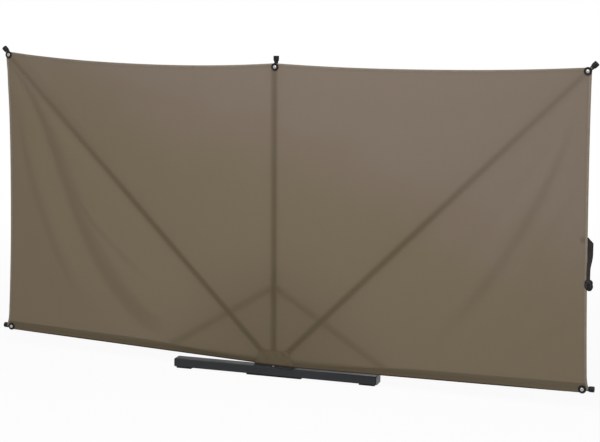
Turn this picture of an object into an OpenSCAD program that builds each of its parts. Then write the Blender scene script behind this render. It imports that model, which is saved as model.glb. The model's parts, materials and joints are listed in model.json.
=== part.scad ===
// Fan-folding privacy screen: a fabric panel held by five poles that turn on a hub over a floor bar.
// A runner on the middle pole lifts two struts, which fold the bottom poles up to the middle.
// +Z is up, the fabric faces -Y, and the origin is on the floor under the middle pole.

/* [Screen] */
// Distance between the upper left and right fixing rings
ring_span = 2860; // [2600:10:3000]
// How much wider apart the lower fixing rings are than the upper ones
lower_ring_spread = 40; // [0:5:80]
// Height of the upper corner rings above the floor
top_ring_z = 1470; // [1400:5:1540]
// Height of the lower corner rings above the floor
bottom_ring_z = 100; // [90:1:120]
// How much lower the middle ring sits than the upper corner rings
centre_ring_drop = 21; // [0:1:60]
// Fabric left outside each ring
fabric_margin = 16; // [8:1:17]
// Thickness of the fabric
fabric_t = 1.6; // [0.6:0.1:2]
// Sag of each half of the top edge
top_sag = 25; // [0:1:60]
// Inward bow of each side edge
side_bow = 18; // [0:1:40]
// Width of the gap along each seam
seam_gap = 0.4; // [0.2:0.1:1]

/* [Poles] */
// Outer diameter of the lower tubes
pole_d = 19; // [16:0.5:20]
// Wall of the lower tubes
pole_wall = 1.4; // [1:0.1:2]
// Wall of the upper tubes
upper_wall = 1.2; // [0.8:0.1:1.6]
// Radial clearance between an upper tube and the lower tube it slides into
telescope_clearance = 0.1; // [0.05:0.05:0.3]
// Length of upper tube inside the lower tube
telescope_overlap = 90; // [60:5:140]
// Length of the lower tube of each diagonal pole, from its pivot
diagonal_lower_l = 1080; // [900:10:1300]
// Length of the lower tube of each bottom pole, from its pivot
bottom_lower_l = 960; // [700:10:1150]
// Length of the middle pole's upper tube from its lower tube to the middle ring
centre_upper_l = 129; // [90:1:134]
// Tube left past each pivot
pole_tail = 12; // [8:0.5:13]

/* [Tips] */
// Length of bare tube between ring centre and tip cap
neck_l = 26; // [20:1:40]
// Length of a tip cap
cap_l = 24; // [20:1:40]
// Depth of the tube's seat in a tip cap
cap_seat = 17; // [12:1:18]
// Diameter of a tip cap at its mouth
cap_mouth_d = 23; // [18.5:0.5:24]
// Diameter of a tip cap at its head
cap_head_d = 26; // [24:0.5:32]
// Outer diameter of an eyelet
eyelet_d = 36; // [24:1:36]
// Thickness of an eyelet
eyelet_t = 2.4; // [1.5:0.1:4]
// Diameter of a stud's shank
stud_d = 6; // [4:0.5:8]
// Diameter of a stud's domed head
stud_head_d = 17; // [12:0.5:20]
// Height of a stud's domed head
stud_head_h = 4; // [2:0.5:6]

/* [Hub] */
// Distance of each diagonal pivot from the middle
diagonal_pivot_x = 30; // [29.8:0.1:34]
// Distance of each bottom pivot from the middle
bottom_pivot_x = 60; // [58:0.5:66]
// Height of the bottom pivots above the foot plate
bottom_pivot_rise = 21; // [20.5:0.5:26]
// How much higher the diagonal pivots sit than the bottom pivots
pivot_step = 13; // [11:0.5:15]
// Diameter of the pivot pins
pin_d = 6; // [5:0.5:8]
// Radial running clearance on the pivot pins
pin_clearance = 0.05; // [0.02:0.01:0.1]
// Thickness of the front and back hub plates
hub_plate_t = 3; // [2:0.5:4]
// Clearance between a pole and a hub plate
hub_side_clearance = 0.5; // [0.3:0.1:1]
// Height of the hub plates
hub_h = 72; // [68:1:90]
// Width of the hub plates at the bottom
hub_bottom_w = 200; // [170:2:240]
// Width of the hub plates at the top
hub_top_w = 154; // [140:2:180]
// Thickness of the foot plate
foot_plate_t = 3; // [2:0.5:5]
// Thickness of the patch over the hub
patch_t = 1.2; // [0.6:0.1:2]

/* [Base] */
// Length of the floor bar with its end caps
bar_l = 1010; // [900:10:1200]
// Angle at which the floor bar stands across the fabric, right end back
bar_turn = 4.2; // [0:0.1:5]
// Depth of the floor bar
bar_w = 60; // [60:1:90]
// Height of the floor bar
bar_h = 40; // [30:1:50]
// Wall of the floor bar
bar_wall = 3; // [2:0.5:4]
// Corner radius of the floor bar
bar_r = 4; // [3.5:0.5:6]
// Thickness of a foot pad
pad_t = 5; // [3:1:10]
// Length of an outer foot pad
pad_l = 76; // [50:2:90]
// Length of the middle foot pad
middle_pad_l = 272; // [160:2:320]
// Distance from the bar's end to an outer pad's near edge
outer_pad_inset = 13; // [1:1:20]

/* [Runner] */
// Height of the strut pivots on the runner above the floor
runner_pivot_z = 416; // [380:1:430]
// Distance of each strut pivot from the middle
strut_pivot_x = 20; // [16:0.5:22]
// Length of the runner's sleeve
runner_l = 154; // [130:2:170]
// Length of sleeve under the strut pivots
runner_below = 60; // [40:1:70]
// Outer diameter of the runner's sleeve
runner_d = 25; // [23:0.5:25]
// Running clearance of the runner on the middle pole
runner_clearance = 0.1; // [0.05:0.01:0.1]
// Width of the strut
strut_w = 16; // [12:1:20]
// Thickness of the strut
strut_t = 5; // [3:0.5:6]
// Clearance between struts and the poles they cross
strut_layer_gap = 5.5; // [5:0.1:6]
// Distance of the strut bracket along the bottom pole
bracket_at = 510; // [440:1:510]
// Length of the strut bracket
bracket_l = 26; // [20:1:40]

/* [Strap] */
// Width of the strap
strap_w = 25; // [20:1:30]
// Thickness of the strap
strap_t = 2; // [1:0.1:3]
// Height of the strap's upper end above the floor
strap_top_z = 770; // [700:1:850]
// Height of the buckle's centre above the floor
buckle_z = 558; // [500:1:600]
// How far the strap bows out past the fabric
strap_bow = 22; // [8:1:40]
// Width of the buckle
buckle_w = 32; // [28:1:40]
// Height of the buckle
buckle_h = 46; // [40:1:60]
// Thickness of the buckle
buckle_t = 9; // [7:0.5:14]

/* [Hidden] */
$fn = 48;

LEFT = -1;
RIGHT = 1;
// Overshoot that lets a cutting solid pass both faces
cut = 1;
// Running distance between a soft piece and what carries it
soft_gap = 0.3;
// Straight pieces in each curved fabric edge
edge_steps = 12;

frame_colour = [0.23, 0.24, 0.26];
pole_colour = [0.42, 0.43, 0.44];
plastic_colour = [0.08, 0.08, 0.09];
steel_colour = [0.75, 0.76, 0.78];
fabric_colour = [0.46, 0.42, 0.35];
patch_colour = [0.40, 0.35, 0.30];

pole_r = pole_d / 2;
upper_d = pole_d - 2 * pole_wall - 2 * telescope_clearance;
stud_hole_d = stud_d + 2 * pin_clearance;
pin_hole_d = pin_d + 2 * pin_clearance;

bar_top = pad_t + bar_h;
foot_plate_top = bar_top + foot_plate_t;
bottom_pivot_z = foot_plate_top + bottom_pivot_rise;
diagonal_pivot_z = bottom_pivot_z + pivot_step;
hub_top = foot_plate_top + hub_h;
hub_front = -pole_r - hub_side_clearance - hub_plate_t;
hub_back = -hub_front;

ring_x = ring_span / 2;
centre_ring_z = top_ring_z - centre_ring_drop;
centre_lower_top = centre_ring_z - centre_upper_l;
diagonal_pivot = [diagonal_pivot_x, diagonal_pivot_z];
bottom_pivot = [bottom_pivot_x, bottom_pivot_z];
diagonal_ring = [ring_x, top_ring_z];
bottom_ring = [ring_x + lower_ring_spread / 2, bottom_ring_z];
diagonal_l = norm(diagonal_ring - diagonal_pivot);
bottom_l = norm(bottom_ring - bottom_pivot);
diagonal_angle = bearing(diagonal_pivot, diagonal_ring);
bottom_angle = bearing(bottom_pivot, bottom_ring);

fabric_back = hub_front - soft_gap;
fabric_front = fabric_back - fabric_t;
trim_back = fabric_front - soft_gap;
eyelet_front = trim_back - eyelet_t;
fabric_hub_z = foot_plate_top + 2 * soft_gap;

strut_front = pole_r + strut_layer_gap;
strut_back = strut_front + strut_t;
boss_back = strut_front - hub_side_clearance;
strut_bracket_point = bottom_pivot + bracket_at * [cos(bottom_angle), sin(bottom_angle)];
runner_pivot = [strut_pivot_x, runner_pivot_z];
strut_l = norm(strut_bracket_point - runner_pivot);
strut_angle = bearing(runner_pivot, strut_bracket_point);

// Direction in degrees from point a to point b of the X-Z plane.
function bearing(a, b) = atan2(b[1] - a[1], b[0] - a[0]);

// Height of a sag or bow of depth d at the share u of its span.
function bow(u, d) = 4 * d * u * (1 - u);

// Points from a to b, pushed by a parabola of depth d along the direction dir.
function bowed_edge(a, b, d, dir) = [
    for (i = [0 : edge_steps]) let (u = i / edge_steps) a + (b - a) * u + dir * bow(u, d)
];

// Puts children on one side; they are drawn for the right.
module sided(side) {
    if (side == LEFT) mirror([1, 0, 0]) children();
    else children();
}

// Turns children so that their X runs along a pole from a pivot in the X-Z plane.
module along(pivot, angle) {
    translate([pivot[0], 0, pivot[1]]) rotate([0, -angle, 0]) children();
}

// Extrudes an outline in the X-Z plane from front to back.
module plate(front, back) {
    translate([0, back, 0]) rotate([90, 0, 0]) linear_extrude(back - front) children();
}

// Cylinder along Y at a point of the X-Z plane, from front to back.
module rod(at, d, front, back) {
    translate([at[0], back, at[1]]) rotate([90, 0, 0]) cylinder(d = d, h = back - front);
}

// Domed head whose flat side is at base and whose top points along dir (-1 front, 1 back).
module dome(at, d, h, base, dir) {
    r = (d * d / 4 + h * h) / (2 * h);
    translate([at[0], base, at[1]]) rotate([-90 * dir, 0, 0]) intersection() {
        translate([0, 0, h - r]) sphere(r = r, $fn = 64);
        cylinder(d = d, h = h);
    }
}

// Tube along X.
module tube_x(from, to, d, wall) {
    translate([from, 0, 0]) rotate([0, 90, 0]) difference() {
        cylinder(d = d, h = to - from);
        translate([0, 0, -cut]) cylinder(d = d - 2 * wall, h = to - from + 2 * cut);
    }
}

// Rectangle with round corners, centred.
module round_rect(w, h, r) {
    square([w - 2 * r, h], center = true);
    square([w, h - 2 * r], center = true);
    for (x = [-1, 1], y = [-1, 1]) translate([x * (w / 2 - r), y * (h / 2 - r)]) circle(r = r);
}

// ---- Base ----

module bar_section(shrink, r) {
    round_rect(bar_w - 2 * shrink, bar_h - 2 * shrink, r);
}

// Turns children about the upright, as the floor bar stands.
module turned() {
    rotate([0, 0, bar_turn]) children();
}

// Lays an outline in the Y-Z plane at the bar's middle height and extrudes it along X.
module along_bar(from, to) {
    translate([from, 0, pad_t + bar_h / 2]) rotate([90, 0, 90]) linear_extrude(to - from) children();
}

cap_flange = 8;
cap_plug = 22;
plug_gap = 0.2;
flange_chamfer = 4;

module base_bar() {
    half = bar_l / 2 - cap_flange;
    color(frame_colour) difference() {
        turned() along_bar(-half, half) difference() {
            bar_section(0, bar_r);
            bar_section(bar_wall, bar_r - bar_wall);
        }
        for (p = base_screws) translate([p[0], p[1], bar_top - bar_wall - cut])
            cylinder(d = pin_hole_d, h = bar_wall + 2 * cut);
    }
}

module base_end_cap() {
    seat = bar_l / 2 - cap_flange;
    color(plastic_colour) {
        intersection() {
            along_bar(seat, bar_l / 2) bar_section(0, bar_r);
            // Sloped front, back and top edges of the flange
            linear_extrude(2 * bar_top) polygon([
                [seat - cut, -bar_w / 2], [bar_l / 2 - flange_chamfer, -bar_w / 2],
                [bar_l / 2, -bar_w / 2 + flange_chamfer], [bar_l / 2, bar_w / 2 - flange_chamfer],
                [bar_l / 2 - flange_chamfer, bar_w / 2], [seat - cut, bar_w / 2]
            ]);
            plate(-bar_w, bar_w) polygon([
                [seat - cut, pad_t], [bar_l / 2 - flange_chamfer, pad_t],
                [bar_l / 2, pad_t + flange_chamfer], [bar_l / 2, bar_top - flange_chamfer],
                [bar_l / 2 - flange_chamfer, bar_top], [seat - cut, bar_top]
            ]);
        }
        along_bar(seat - cap_plug, seat) difference() {
            bar_section(bar_wall + plug_gap, bar_r - bar_wall);
            bar_section(2 * bar_wall + plug_gap, bar_r - bar_wall);
        }
    }
}

module base_end_caps() {
    turned() {
        base_end_cap();
        rotate([0, 0, 180]) base_end_cap();
    }
}

module foot_pads() {
    outer_pad_x = bar_l / 2 - outer_pad_inset - pad_l / 2;
    color(plastic_colour) turned() linear_extrude(pad_t) {
        for (x = [-outer_pad_x, outer_pad_x]) translate([x, 0]) round_rect(pad_l, bar_w, bar_r);
        round_rect(middle_pad_l, bar_w, bar_r);
    }
}

// ---- Hub ----

hub_chamfer = 10;
foot_plate_l = hub_bottom_w;
screw_inset = 8;
screw_head_d = 11;
screw_head_h = 3;
base_screws = [
    [0, -bar_w / 2 + screw_inset],
    [-foot_plate_l / 2 + 2 * screw_inset, 0],
    [foot_plate_l / 2 - 2 * screw_inset, 0]
];
pivots = [
    [-bottom_pivot_x, bottom_pivot_z], [-diagonal_pivot_x, diagonal_pivot_z],
    diagonal_pivot, bottom_pivot
];
pole_bolts = [[0, foot_plate_top + 14], [0, hub_top - 16]];
pin_head_d = 12;
pin_head_h = 3;

module hub_foot_plate() {
    color(frame_colour) difference() {
        translate([0, 0, bar_top]) linear_extrude(foot_plate_t)
            round_rect(foot_plate_l, bar_w, bar_r);
        for (p = base_screws) translate([p[0], p[1], bar_top - cut])
            cylinder(d = pin_hole_d, h = foot_plate_t + 2 * cut);
    }
}

module hub_outline(grow) {
    polygon([
        [-hub_bottom_w / 2, foot_plate_top], [hub_bottom_w / 2, foot_plate_top],
        [hub_top_w / 2 + grow, hub_top - hub_chamfer],
        [hub_top_w / 2 - hub_chamfer, hub_top + grow],
        [-hub_top_w / 2 + hub_chamfer, hub_top + grow],
        [-hub_top_w / 2 - grow, hub_top - hub_chamfer]
    ]);
}

module hub_plate(front) {
    color(frame_colour) difference() {
        plate(front, front + hub_plate_t) hub_outline(0);
        for (p = concat(pivots, pole_bolts)) rod(p, pin_hole_d, front - cut, front + hub_plate_t + cut);
    }
}

module hub_front_plate() { hub_plate(hub_front); }

module hub_back_plate() { hub_plate(hub_back - hub_plate_t); }

module hub_fasteners() {
    color(steel_colour) {
        for (p = concat(pivots, pole_bolts)) {
            rod(p, pin_d, hub_front, hub_back);
            dome(p, pin_head_d, pin_head_h, hub_back, 1);
        }
        for (p = base_screws) translate([p[0], p[1], 0]) {
            translate([0, 0, bar_top - bar_wall - 2 * cut])
                cylinder(d = pin_d, h = foot_plate_top - bar_top + bar_wall + 2 * cut);
            translate([0, 0, foot_plate_top]) cylinder(d = screw_head_d, h = screw_head_h);
        }
    }
}

module hub_patch() {
    color(patch_colour) plate(trim_back - patch_t, trim_back) intersection() {
        hub_outline(2);
        translate([-hub_bottom_w, fabric_hub_z]) square([2 * hub_bottom_w, 2 * hub_h]);
    }
}

// ---- Poles ----

// Lower tube of a turning pole, drilled for its pivot pin.
module pole_lower(length) {
    color(pole_colour) difference() {
        tube_x(-pole_tail, length, pole_d, pole_wall);
        rod([0, 0], pin_hole_d, -pole_d, pole_d);
    }
}

// Upper tube, drilled for the stud at ring_at; it ends inside the tip cap.
module pole_upper(lower_end, ring_at) {
    color(pole_colour) difference() {
        tube_x(lower_end - telescope_overlap, ring_at + neck_l + cap_seat, upper_d, upper_wall);
        rod([ring_at, 0], stud_hole_d, -upper_d, 0);
    }
}

// Tip cap: a flared plug whose mouth is neck_l past the ring.
module tip_cap(ring_at) {
    bevel = 2;
    mouth_r = cap_mouth_d / 2;
    head_r = cap_head_d / 2;
    color(plastic_colour) translate([ring_at + neck_l, 0, 0]) rotate([0, 90, 0]) difference() {
        rotate_extrude() polygon([
            [0, 0], [mouth_r, 0], [head_r, cap_l / 5],
            [head_r, cap_l - bevel], [head_r - bevel, cap_l], [0, cap_l]
        ]);
        translate([0, 0, -cut]) cylinder(d = upper_d + 2 * telescope_clearance, h = cap_seat + cut);
    }
}

// Eyelet ring clamped on the fabric around the stud.
module eyelet(ring_at) {
    color(plastic_colour) difference() {
        rod([ring_at, 0], eyelet_d, eyelet_front, trim_back);
        rod([ring_at, 0], stud_hole_d, eyelet_front - cut, trim_back + cut);
    }
}

// Stud: a shank through the tube's front wall and a domed head with a small recess.
module stud(ring_at) {
    recess_d = 4;
    recess_h = 1.5;
    color(steel_colour) difference() {
        union() {
            rod([ring_at, 0], stud_d, eyelet_front, -upper_d / 4);
            dome([ring_at, 0], stud_head_d, stud_head_h, eyelet_front, -1);
        }
        rod([ring_at, 0], recess_d, eyelet_front - stud_head_h - cut,
            eyelet_front - stud_head_h + recess_h);
    }
}

// The middle pole's own direction is straight up, measured from the floor.
module centre_frame() { along([0, 0], 90) children(); }

module centre_pole_lower() {
    color(pole_colour) difference() {
        centre_frame() tube_x(foot_plate_top, centre_lower_top, pole_d, pole_wall);
        for (p = pole_bolts) rod(p, pin_hole_d, -pole_d, pole_d);
    }
}

module centre_pole_upper() { centre_frame() pole_upper(centre_lower_top, centre_ring_z); }

module centre_tip_cap() { centre_frame() tip_cap(centre_ring_z); }

module centre_eyelet() { centre_frame() eyelet(centre_ring_z); }

module centre_stud() { centre_frame() stud(centre_ring_z); }

module diagonal(side) { sided(side) along(diagonal_pivot, diagonal_angle) children(); }

module diagonal_lower(side) { diagonal(side) pole_lower(diagonal_lower_l); }

module diagonal_upper(side) { diagonal(side) pole_upper(diagonal_lower_l, diagonal_l); }

module diagonal_tip_cap(side) { diagonal(side) tip_cap(diagonal_l); }

module diagonal_eyelet(side) { diagonal(side) eyelet(diagonal_l); }

module diagonal_stud(side) { diagonal(side) stud(diagonal_l); }

module bottom(side) { sided(side) along(bottom_pivot, bottom_angle) children(); }

module bottom_pole_lower(side) { bottom(side) pole_lower(bottom_lower_l); }

module bottom_pole_upper(side) { bottom(side) pole_upper(bottom_lower_l, bottom_l); }

module bottom_tip_cap(side) { bottom(side) tip_cap(bottom_l); }

module bottom_eyelet(side) { bottom(side) eyelet(bottom_l); }

module bottom_stud(side) { bottom(side) stud(bottom_l); }

// ---- Runner and struts ----

boss_d = strut_w;
knob_d = 28;
knob_h = 12;
knob_lobes = 5;
knob_rise = 62;

module strut_bracket(side) {
    bore_d = pole_d + 2 * pin_clearance;
    color(plastic_colour) bottom(side) {
        tube_x(bracket_at - bracket_l / 2, bracket_at + bracket_l / 2, runner_d, (runner_d - bore_d) / 2);
        difference() {
            rod([bracket_at, 0], boss_d, 0, boss_back);
            tube_x(bracket_at - bracket_l, bracket_at + bracket_l, bore_d, bore_d / 2);
        }
    }
}

module runner() {
    ear_w = 2 * strut_pivot_x + boss_d;
    ear_h = 1.8 * boss_d;
    bore_d = pole_d + 2 * runner_clearance;
    color(plastic_colour) difference() {
        union() {
            translate([0, 0, runner_pivot_z - runner_below]) cylinder(d = runner_d, h = runner_l);
            plate(0, boss_back) translate([0, runner_pivot_z]) round_rect(ear_w, ear_h, boss_d / 4);
            rod([0, runner_pivot_z + knob_rise], boss_d, 0, boss_back);
            for (side = [LEFT, RIGHT]) {
                rod([side * strut_pivot_x, runner_pivot_z], pin_d, boss_back - cut, strut_back + soft_gap);
                dome([side * strut_pivot_x, runner_pivot_z], pin_head_d, pin_head_h,
                    strut_back + soft_gap, 1);
            }
        }
        translate([0, 0, runner_pivot_z - runner_below - cut]) cylinder(d = bore_d, h = runner_l + 2 * cut);
        rod([0, runner_pivot_z + knob_rise], pin_hole_d, 0, boss_back + cut);
    }
}

// Star knob whose stem clamps the middle pole.
module runner_knob() {
    color(plastic_colour) translate([0, 0, runner_pivot_z + knob_rise]) {
        rod([0, 0], pin_d, pole_r + runner_clearance, boss_back + soft_gap);
        difference() {
            rod([0, 0], knob_d, boss_back + soft_gap, boss_back + soft_gap + knob_h);
            for (i = [0 : knob_lobes - 1]) let (a = i * 360 / knob_lobes)
                rod(knob_d * 0.62 * [cos(a), sin(a)], knob_d * 0.4, boss_back, boss_back + knob_h + cut);
        }
    }
}

module strut(side) {
    color(pole_colour) sided(side) along(runner_pivot, strut_angle) {
        difference() {
            plate(strut_front, strut_back) {
                translate([0, -strut_w / 2]) square([strut_l, strut_w]);
                for (x = [0, strut_l]) translate([x, 0]) circle(d = strut_w);
            }
            rod([0, 0], pin_hole_d, strut_front - cut, strut_back + cut);
        }
        dome([strut_l, 0], pin_head_d, pin_head_h, strut_back, 1);
    }
}

// ---- Fabric ----

fabric_top_centre = [0, centre_ring_z + fabric_margin];
fabric_top_corner = diagonal_ring + [fabric_margin, fabric_margin];
fabric_bottom_corner = bottom_ring + [fabric_margin, -fabric_margin];
fabric_hub_corner = [hub_bottom_w / 2, fabric_hub_z];
// The seam over a diagonal pole runs on down to the hub's bottom edge
seam_foot = diagonal_pivot
    - (diagonal_pivot[1] - fabric_hub_z) / sin(diagonal_angle) * [cos(diagonal_angle), sin(diagonal_angle)];
seam_normal = seam_gap / 2 * [-sin(diagonal_angle), cos(diagonal_angle)];

module fabric_holes() {
    for (p = [[0, centre_ring_z], diagonal_ring, bottom_ring])
        translate(p) circle(d = stud_d + 2 * soft_gap);
}

module fabric_upper(side) {
    color(fabric_colour) sided(side) plate(fabric_front, fabric_back) difference() {
        intersection() {
            polygon(concat(
                [seam_foot + seam_normal],
                bowed_edge(fabric_top_corner, fabric_top_centre, top_sag, [0, -1])
            ));
            translate([seam_gap / 2, 0]) square([ring_span, 2 * top_ring_z]);
        }
        fabric_holes();
    }
}

module fabric_lower(side) {
    color(fabric_colour) sided(side) plate(fabric_front, fabric_back) difference() {
        polygon(concat(
            [[seam_gap / 2, fabric_hub_z], fabric_hub_corner],
            [fabric_bottom_corner],
            bowed_edge(fabric_bottom_corner, fabric_top_corner - [0, seam_gap], side_bow, [-1, 0]),
            [[seam_gap / 2, fabric_hub_z + cut]]
        ));
        fabric_holes();
    }
}

// ---- Strap ----

strap_steps = 10;
strap_x = (diagonal_ring[0] + bottom_ring[0]) / 2 + fabric_margin - side_bow;
strap_bottom_z = buckle_z + buckle_h / 2 - strap_w / 3;

// Middle line of the strap: it leaves the fabric's edge, bows out and comes back to the buckle.
function strap_point(u) = [strap_x + bow(u, strap_bow), strap_top_z + (strap_bottom_z - strap_top_z) * u];

module strap_webbing() {
    color(plastic_colour) plate(trim_back - strap_t, trim_back) polygon(concat(
        [for (i = [0 : strap_steps]) strap_point(i / strap_steps) + [strap_w / 2, 0]],
        [for (i = [strap_steps : -1 : 0]) strap_point(i / strap_steps) - [strap_w / 2, 0]]
    ));
}

module strap_buckle() {
    buckle_back = trim_back - strap_t - soft_gap;
    slot_w = strap_w - 4;
    slot_h = 5;
    color(plastic_colour) plate(buckle_back - buckle_t, buckle_back) translate([strap_x, buckle_z])
        difference() {
            round_rect(buckle_w, buckle_h, buckle_w / 5);
            for (z = [-1, 1]) translate([0, z * (buckle_h / 2 - slot_h)])
                square([slot_w, slot_h], center = true);
        }
}

base_bar();
base_end_caps();
foot_pads();
hub_foot_plate();
hub_front_plate();
hub_back_plate();
hub_fasteners();
hub_patch();
centre_pole_lower();
centre_pole_upper();
centre_tip_cap();
centre_eyelet();
centre_stud();
fabric_upper(LEFT);  // fabric_upper_left
fabric_upper(RIGHT);  // fabric_upper_right
diagonal_lower(LEFT);  // diagonal_lower_left
diagonal_upper(LEFT);  // diagonal_upper_left
diagonal_tip_cap(LEFT);  // diagonal_tip_cap_left
diagonal_eyelet(LEFT);  // diagonal_eyelet_left
diagonal_stud(LEFT);  // diagonal_stud_left
diagonal_lower(RIGHT);  // diagonal_lower_right
diagonal_upper(RIGHT);  // diagonal_upper_right
diagonal_tip_cap(RIGHT);  // diagonal_tip_cap_right
diagonal_eyelet(RIGHT);  // diagonal_eyelet_right
diagonal_stud(RIGHT);  // diagonal_stud_right
bottom_pole_lower(LEFT);  // bottom_pole_lower_left
bottom_pole_upper(LEFT);  // bottom_pole_upper_left
bottom_tip_cap(LEFT);  // bottom_tip_cap_left
bottom_eyelet(LEFT);  // bottom_eyelet_left
bottom_stud(LEFT);  // bottom_stud_left
strut_bracket(LEFT);  // strut_bracket_left
fabric_lower(LEFT);  // fabric_lower_left
bottom_pole_lower(RIGHT);  // bottom_pole_lower_right
bottom_pole_upper(RIGHT);  // bottom_pole_upper_right
bottom_tip_cap(RIGHT);  // bottom_tip_cap_right
bottom_eyelet(RIGHT);  // bottom_eyelet_right
bottom_stud(RIGHT);  // bottom_stud_right
strut_bracket(RIGHT);  // strut_bracket_right
fabric_lower(RIGHT);  // fabric_lower_right
runner();
runner_knob();
strut(LEFT);  // strut_left
strut(RIGHT);  // strut_right
strap_webbing();
strap_buckle();
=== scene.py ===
"""The looks of a fan-folding privacy screen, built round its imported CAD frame. Lengths are in metres.

The cloth hangs in the plane Y = CLOTH_Y in front of the poles and faces -Y. Most pieces are worked out for the
right half, X > 0, and mirrored for the left.
"""

import json
import math

import bmesh
import bpy
import numpy as np
from mathutils import Matrix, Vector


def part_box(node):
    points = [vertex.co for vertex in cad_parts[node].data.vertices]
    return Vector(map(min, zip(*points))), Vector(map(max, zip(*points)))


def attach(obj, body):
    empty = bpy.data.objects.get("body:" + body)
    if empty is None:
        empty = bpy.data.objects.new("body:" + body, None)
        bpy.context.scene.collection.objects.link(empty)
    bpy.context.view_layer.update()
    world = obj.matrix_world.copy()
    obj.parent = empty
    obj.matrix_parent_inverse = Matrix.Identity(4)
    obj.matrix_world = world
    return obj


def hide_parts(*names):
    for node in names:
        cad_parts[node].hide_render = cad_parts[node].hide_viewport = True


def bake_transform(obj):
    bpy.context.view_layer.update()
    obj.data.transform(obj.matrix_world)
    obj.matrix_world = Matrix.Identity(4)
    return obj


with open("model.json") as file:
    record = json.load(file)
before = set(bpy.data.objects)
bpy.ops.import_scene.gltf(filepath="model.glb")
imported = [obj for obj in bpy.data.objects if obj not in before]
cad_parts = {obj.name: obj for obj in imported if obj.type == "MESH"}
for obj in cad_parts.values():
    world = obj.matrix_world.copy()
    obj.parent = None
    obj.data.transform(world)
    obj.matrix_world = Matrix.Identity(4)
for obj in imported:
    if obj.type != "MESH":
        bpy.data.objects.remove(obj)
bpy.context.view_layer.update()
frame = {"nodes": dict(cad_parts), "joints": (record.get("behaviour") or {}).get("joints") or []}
NODES = frame["nodes"]
JOINTS = {j["name"]: j for j in frame["joints"]}
SIDES = {"left": -1.0, "right": 1.0}


def corners(*names):
    """Lowest and highest corners of one or more CAD nodes together, as two arrays."""
    boxes = [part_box(n) for n in names]
    return np.min([b[0] for b in boxes], 0), np.max([b[1] for b in boxes], 0)


def middle(name):
    """(X, Z) of the middle of a CAD node."""
    low, high = corners(name)
    return (low[[0, 2]] + high[[0, 2]]) / 2


def pivot_of(joint):
    """(X, Z) of a hinge."""
    return np.array([JOINTS[joint]["pos_m"][0], JOINTS[joint]["pos_m"][2]])


def bearing(a, b):
    """Angle above the horizontal of the line from a to b, in radians."""
    return math.atan2(b[1] - a[1], b[0] - a[0])


# ---- Measures taken from the frame ----

DIAGONAL_PIVOT = pivot_of("diagonal_right_fold")
WING_PIVOT = pivot_of("wing_right_fold")
TOP_RING = middle("diagonal_eyelet_right")
LOW_RING = middle("bottom_eyelet_right")
MID_RING = middle("centre_eyelet")
DIAGONAL_ANGLE = bearing(DIAGONAL_PIVOT, TOP_RING)
WING_ANGLE = bearing(WING_PIVOT, LOW_RING)
POLE_LINES = ((DIAGONAL_PIVOT, DIAGONAL_ANGLE), (WING_PIVOT, WING_ANGLE))
WING_TURN = math.radians(JOINTS["wing_left_fold"]["range_deg"][1])
DIAGONAL_TURN = math.radians(JOINTS["diagonal_left_fold"]["range_deg"][1])
UPPER_SPAN = math.pi / 2 - DIAGONAL_ANGLE
LOWER_SPAN = DIAGONAL_ANGLE - WING_ANGLE
SEAM_SHARE = DIAGONAL_TURN / WING_TURN
STRUT_LOW, STRUT_HIGH = corners("strut_right")
STRUT_END = 0.006  # from the end of a strut's box to the strut's middle line
STRUT_RUN = STRUT_HIGH - STRUT_LOW - 2 * STRUT_END
STRUT_ANGLE = -math.atan2(STRUT_RUN[2], STRUT_RUN[0])
STRUT_TOP = (STRUT_LOW[0] + STRUT_END, STRUT_HIGH[2] - STRUT_END)
CLOTH_LOW, CLOTH_HIGH = corners("fabric_upper_right", "fabric_lower_right")
CLOTH_Y = (CLOTH_LOW[1] + CLOTH_HIGH[1]) / 2
EYELET_LOW, EYELET_HIGH = corners("centre_eyelet")
EYELET_R = (EYELET_HIGH[0] - EYELET_LOW[0]) / 2
PATCH_LOW, PATCH_HIGH = corners("hub_patch")
EDGE_MARGIN = CLOTH_HIGH[0] - LOW_RING[0]
CORNER = np.array([TOP_RING[0] + EDGE_MARGIN, CLOTH_HIGH[2]])
LOW_CORNER = np.array([LOW_RING[0] + EDGE_MARGIN + 0.004, LOW_RING[1] - EDGE_MARGIN + 0.002])
TOP_MIDDLE = MID_RING[1] + (CORNER[1] - TOP_RING[1])
HUB_EDGE_X = PATCH_HIGH[0] - 0.004

# How the free edges hang, left and right: the depth of each edge's curve, and how far the foot is drawn up at the hub
TOP_SAG = {-1.0: 0.031, 1.0: 0.019}
SIDE_BOW = {-1.0: 0.022, 1.0: 0.006}
HUB_RISE = {-1.0: 0.0070, 1.0: 0.0015}
# The side edge's foot: how far out it is drawn, over what height, and how far it is cut back under the ring
FLARE, FLARE_HEIGHT, FOOT_CUT = 0.011, 0.036, 0.020
PLEATS = 9  # in each sector
HEM = 0.0045  # depth of a turned edge
ROLL = 0.00045  # radius of its fold
HALF_TURN = np.linspace(0, math.pi, 7)[1:]
ROLL_OUT, ROLL_BACK = ROLL * np.sin(HALF_TURN), ROLL * (1 - np.cos(HALF_TURN))
SECOND_ROW = 0.0150  # the second row of stitches, in from the edge
FOOT_HEM = (0.018, 0.042)  # height of the foot's hem, at the hub and at the corner
TAPE_WIDTH = 0.0090
STITCH_STEP = 0.0048
SHADOW_LINE_OFFSET = 0.005  # the middle pole's painted shadow lies this far to the left of its axis
CAP_BORE = 0.0081  # radius of a pole's tip
NECK = 0.0105  # length of a tip cap's neck


# ---- Geometry helpers ----


def unit(vectors):
    """Vectors in rows, or a single one, brought to length 1."""
    return vectors / np.linalg.norm(vectors, axis=-1, keepdims=True)


def heading(angle):
    """The unit vectors (cos, sin) of some angles."""
    return np.stack([np.cos(angle), np.sin(angle)], -1)


def left_of(ahead):
    """Vectors (X, Z) turned a quarter to their left."""
    return np.stack([-ahead[..., 1], ahead[..., 0]], -1)


def circle(count):
    """Even angles round a circle."""
    return np.linspace(0, 2 * np.pi, count, endpoint=False)


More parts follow.
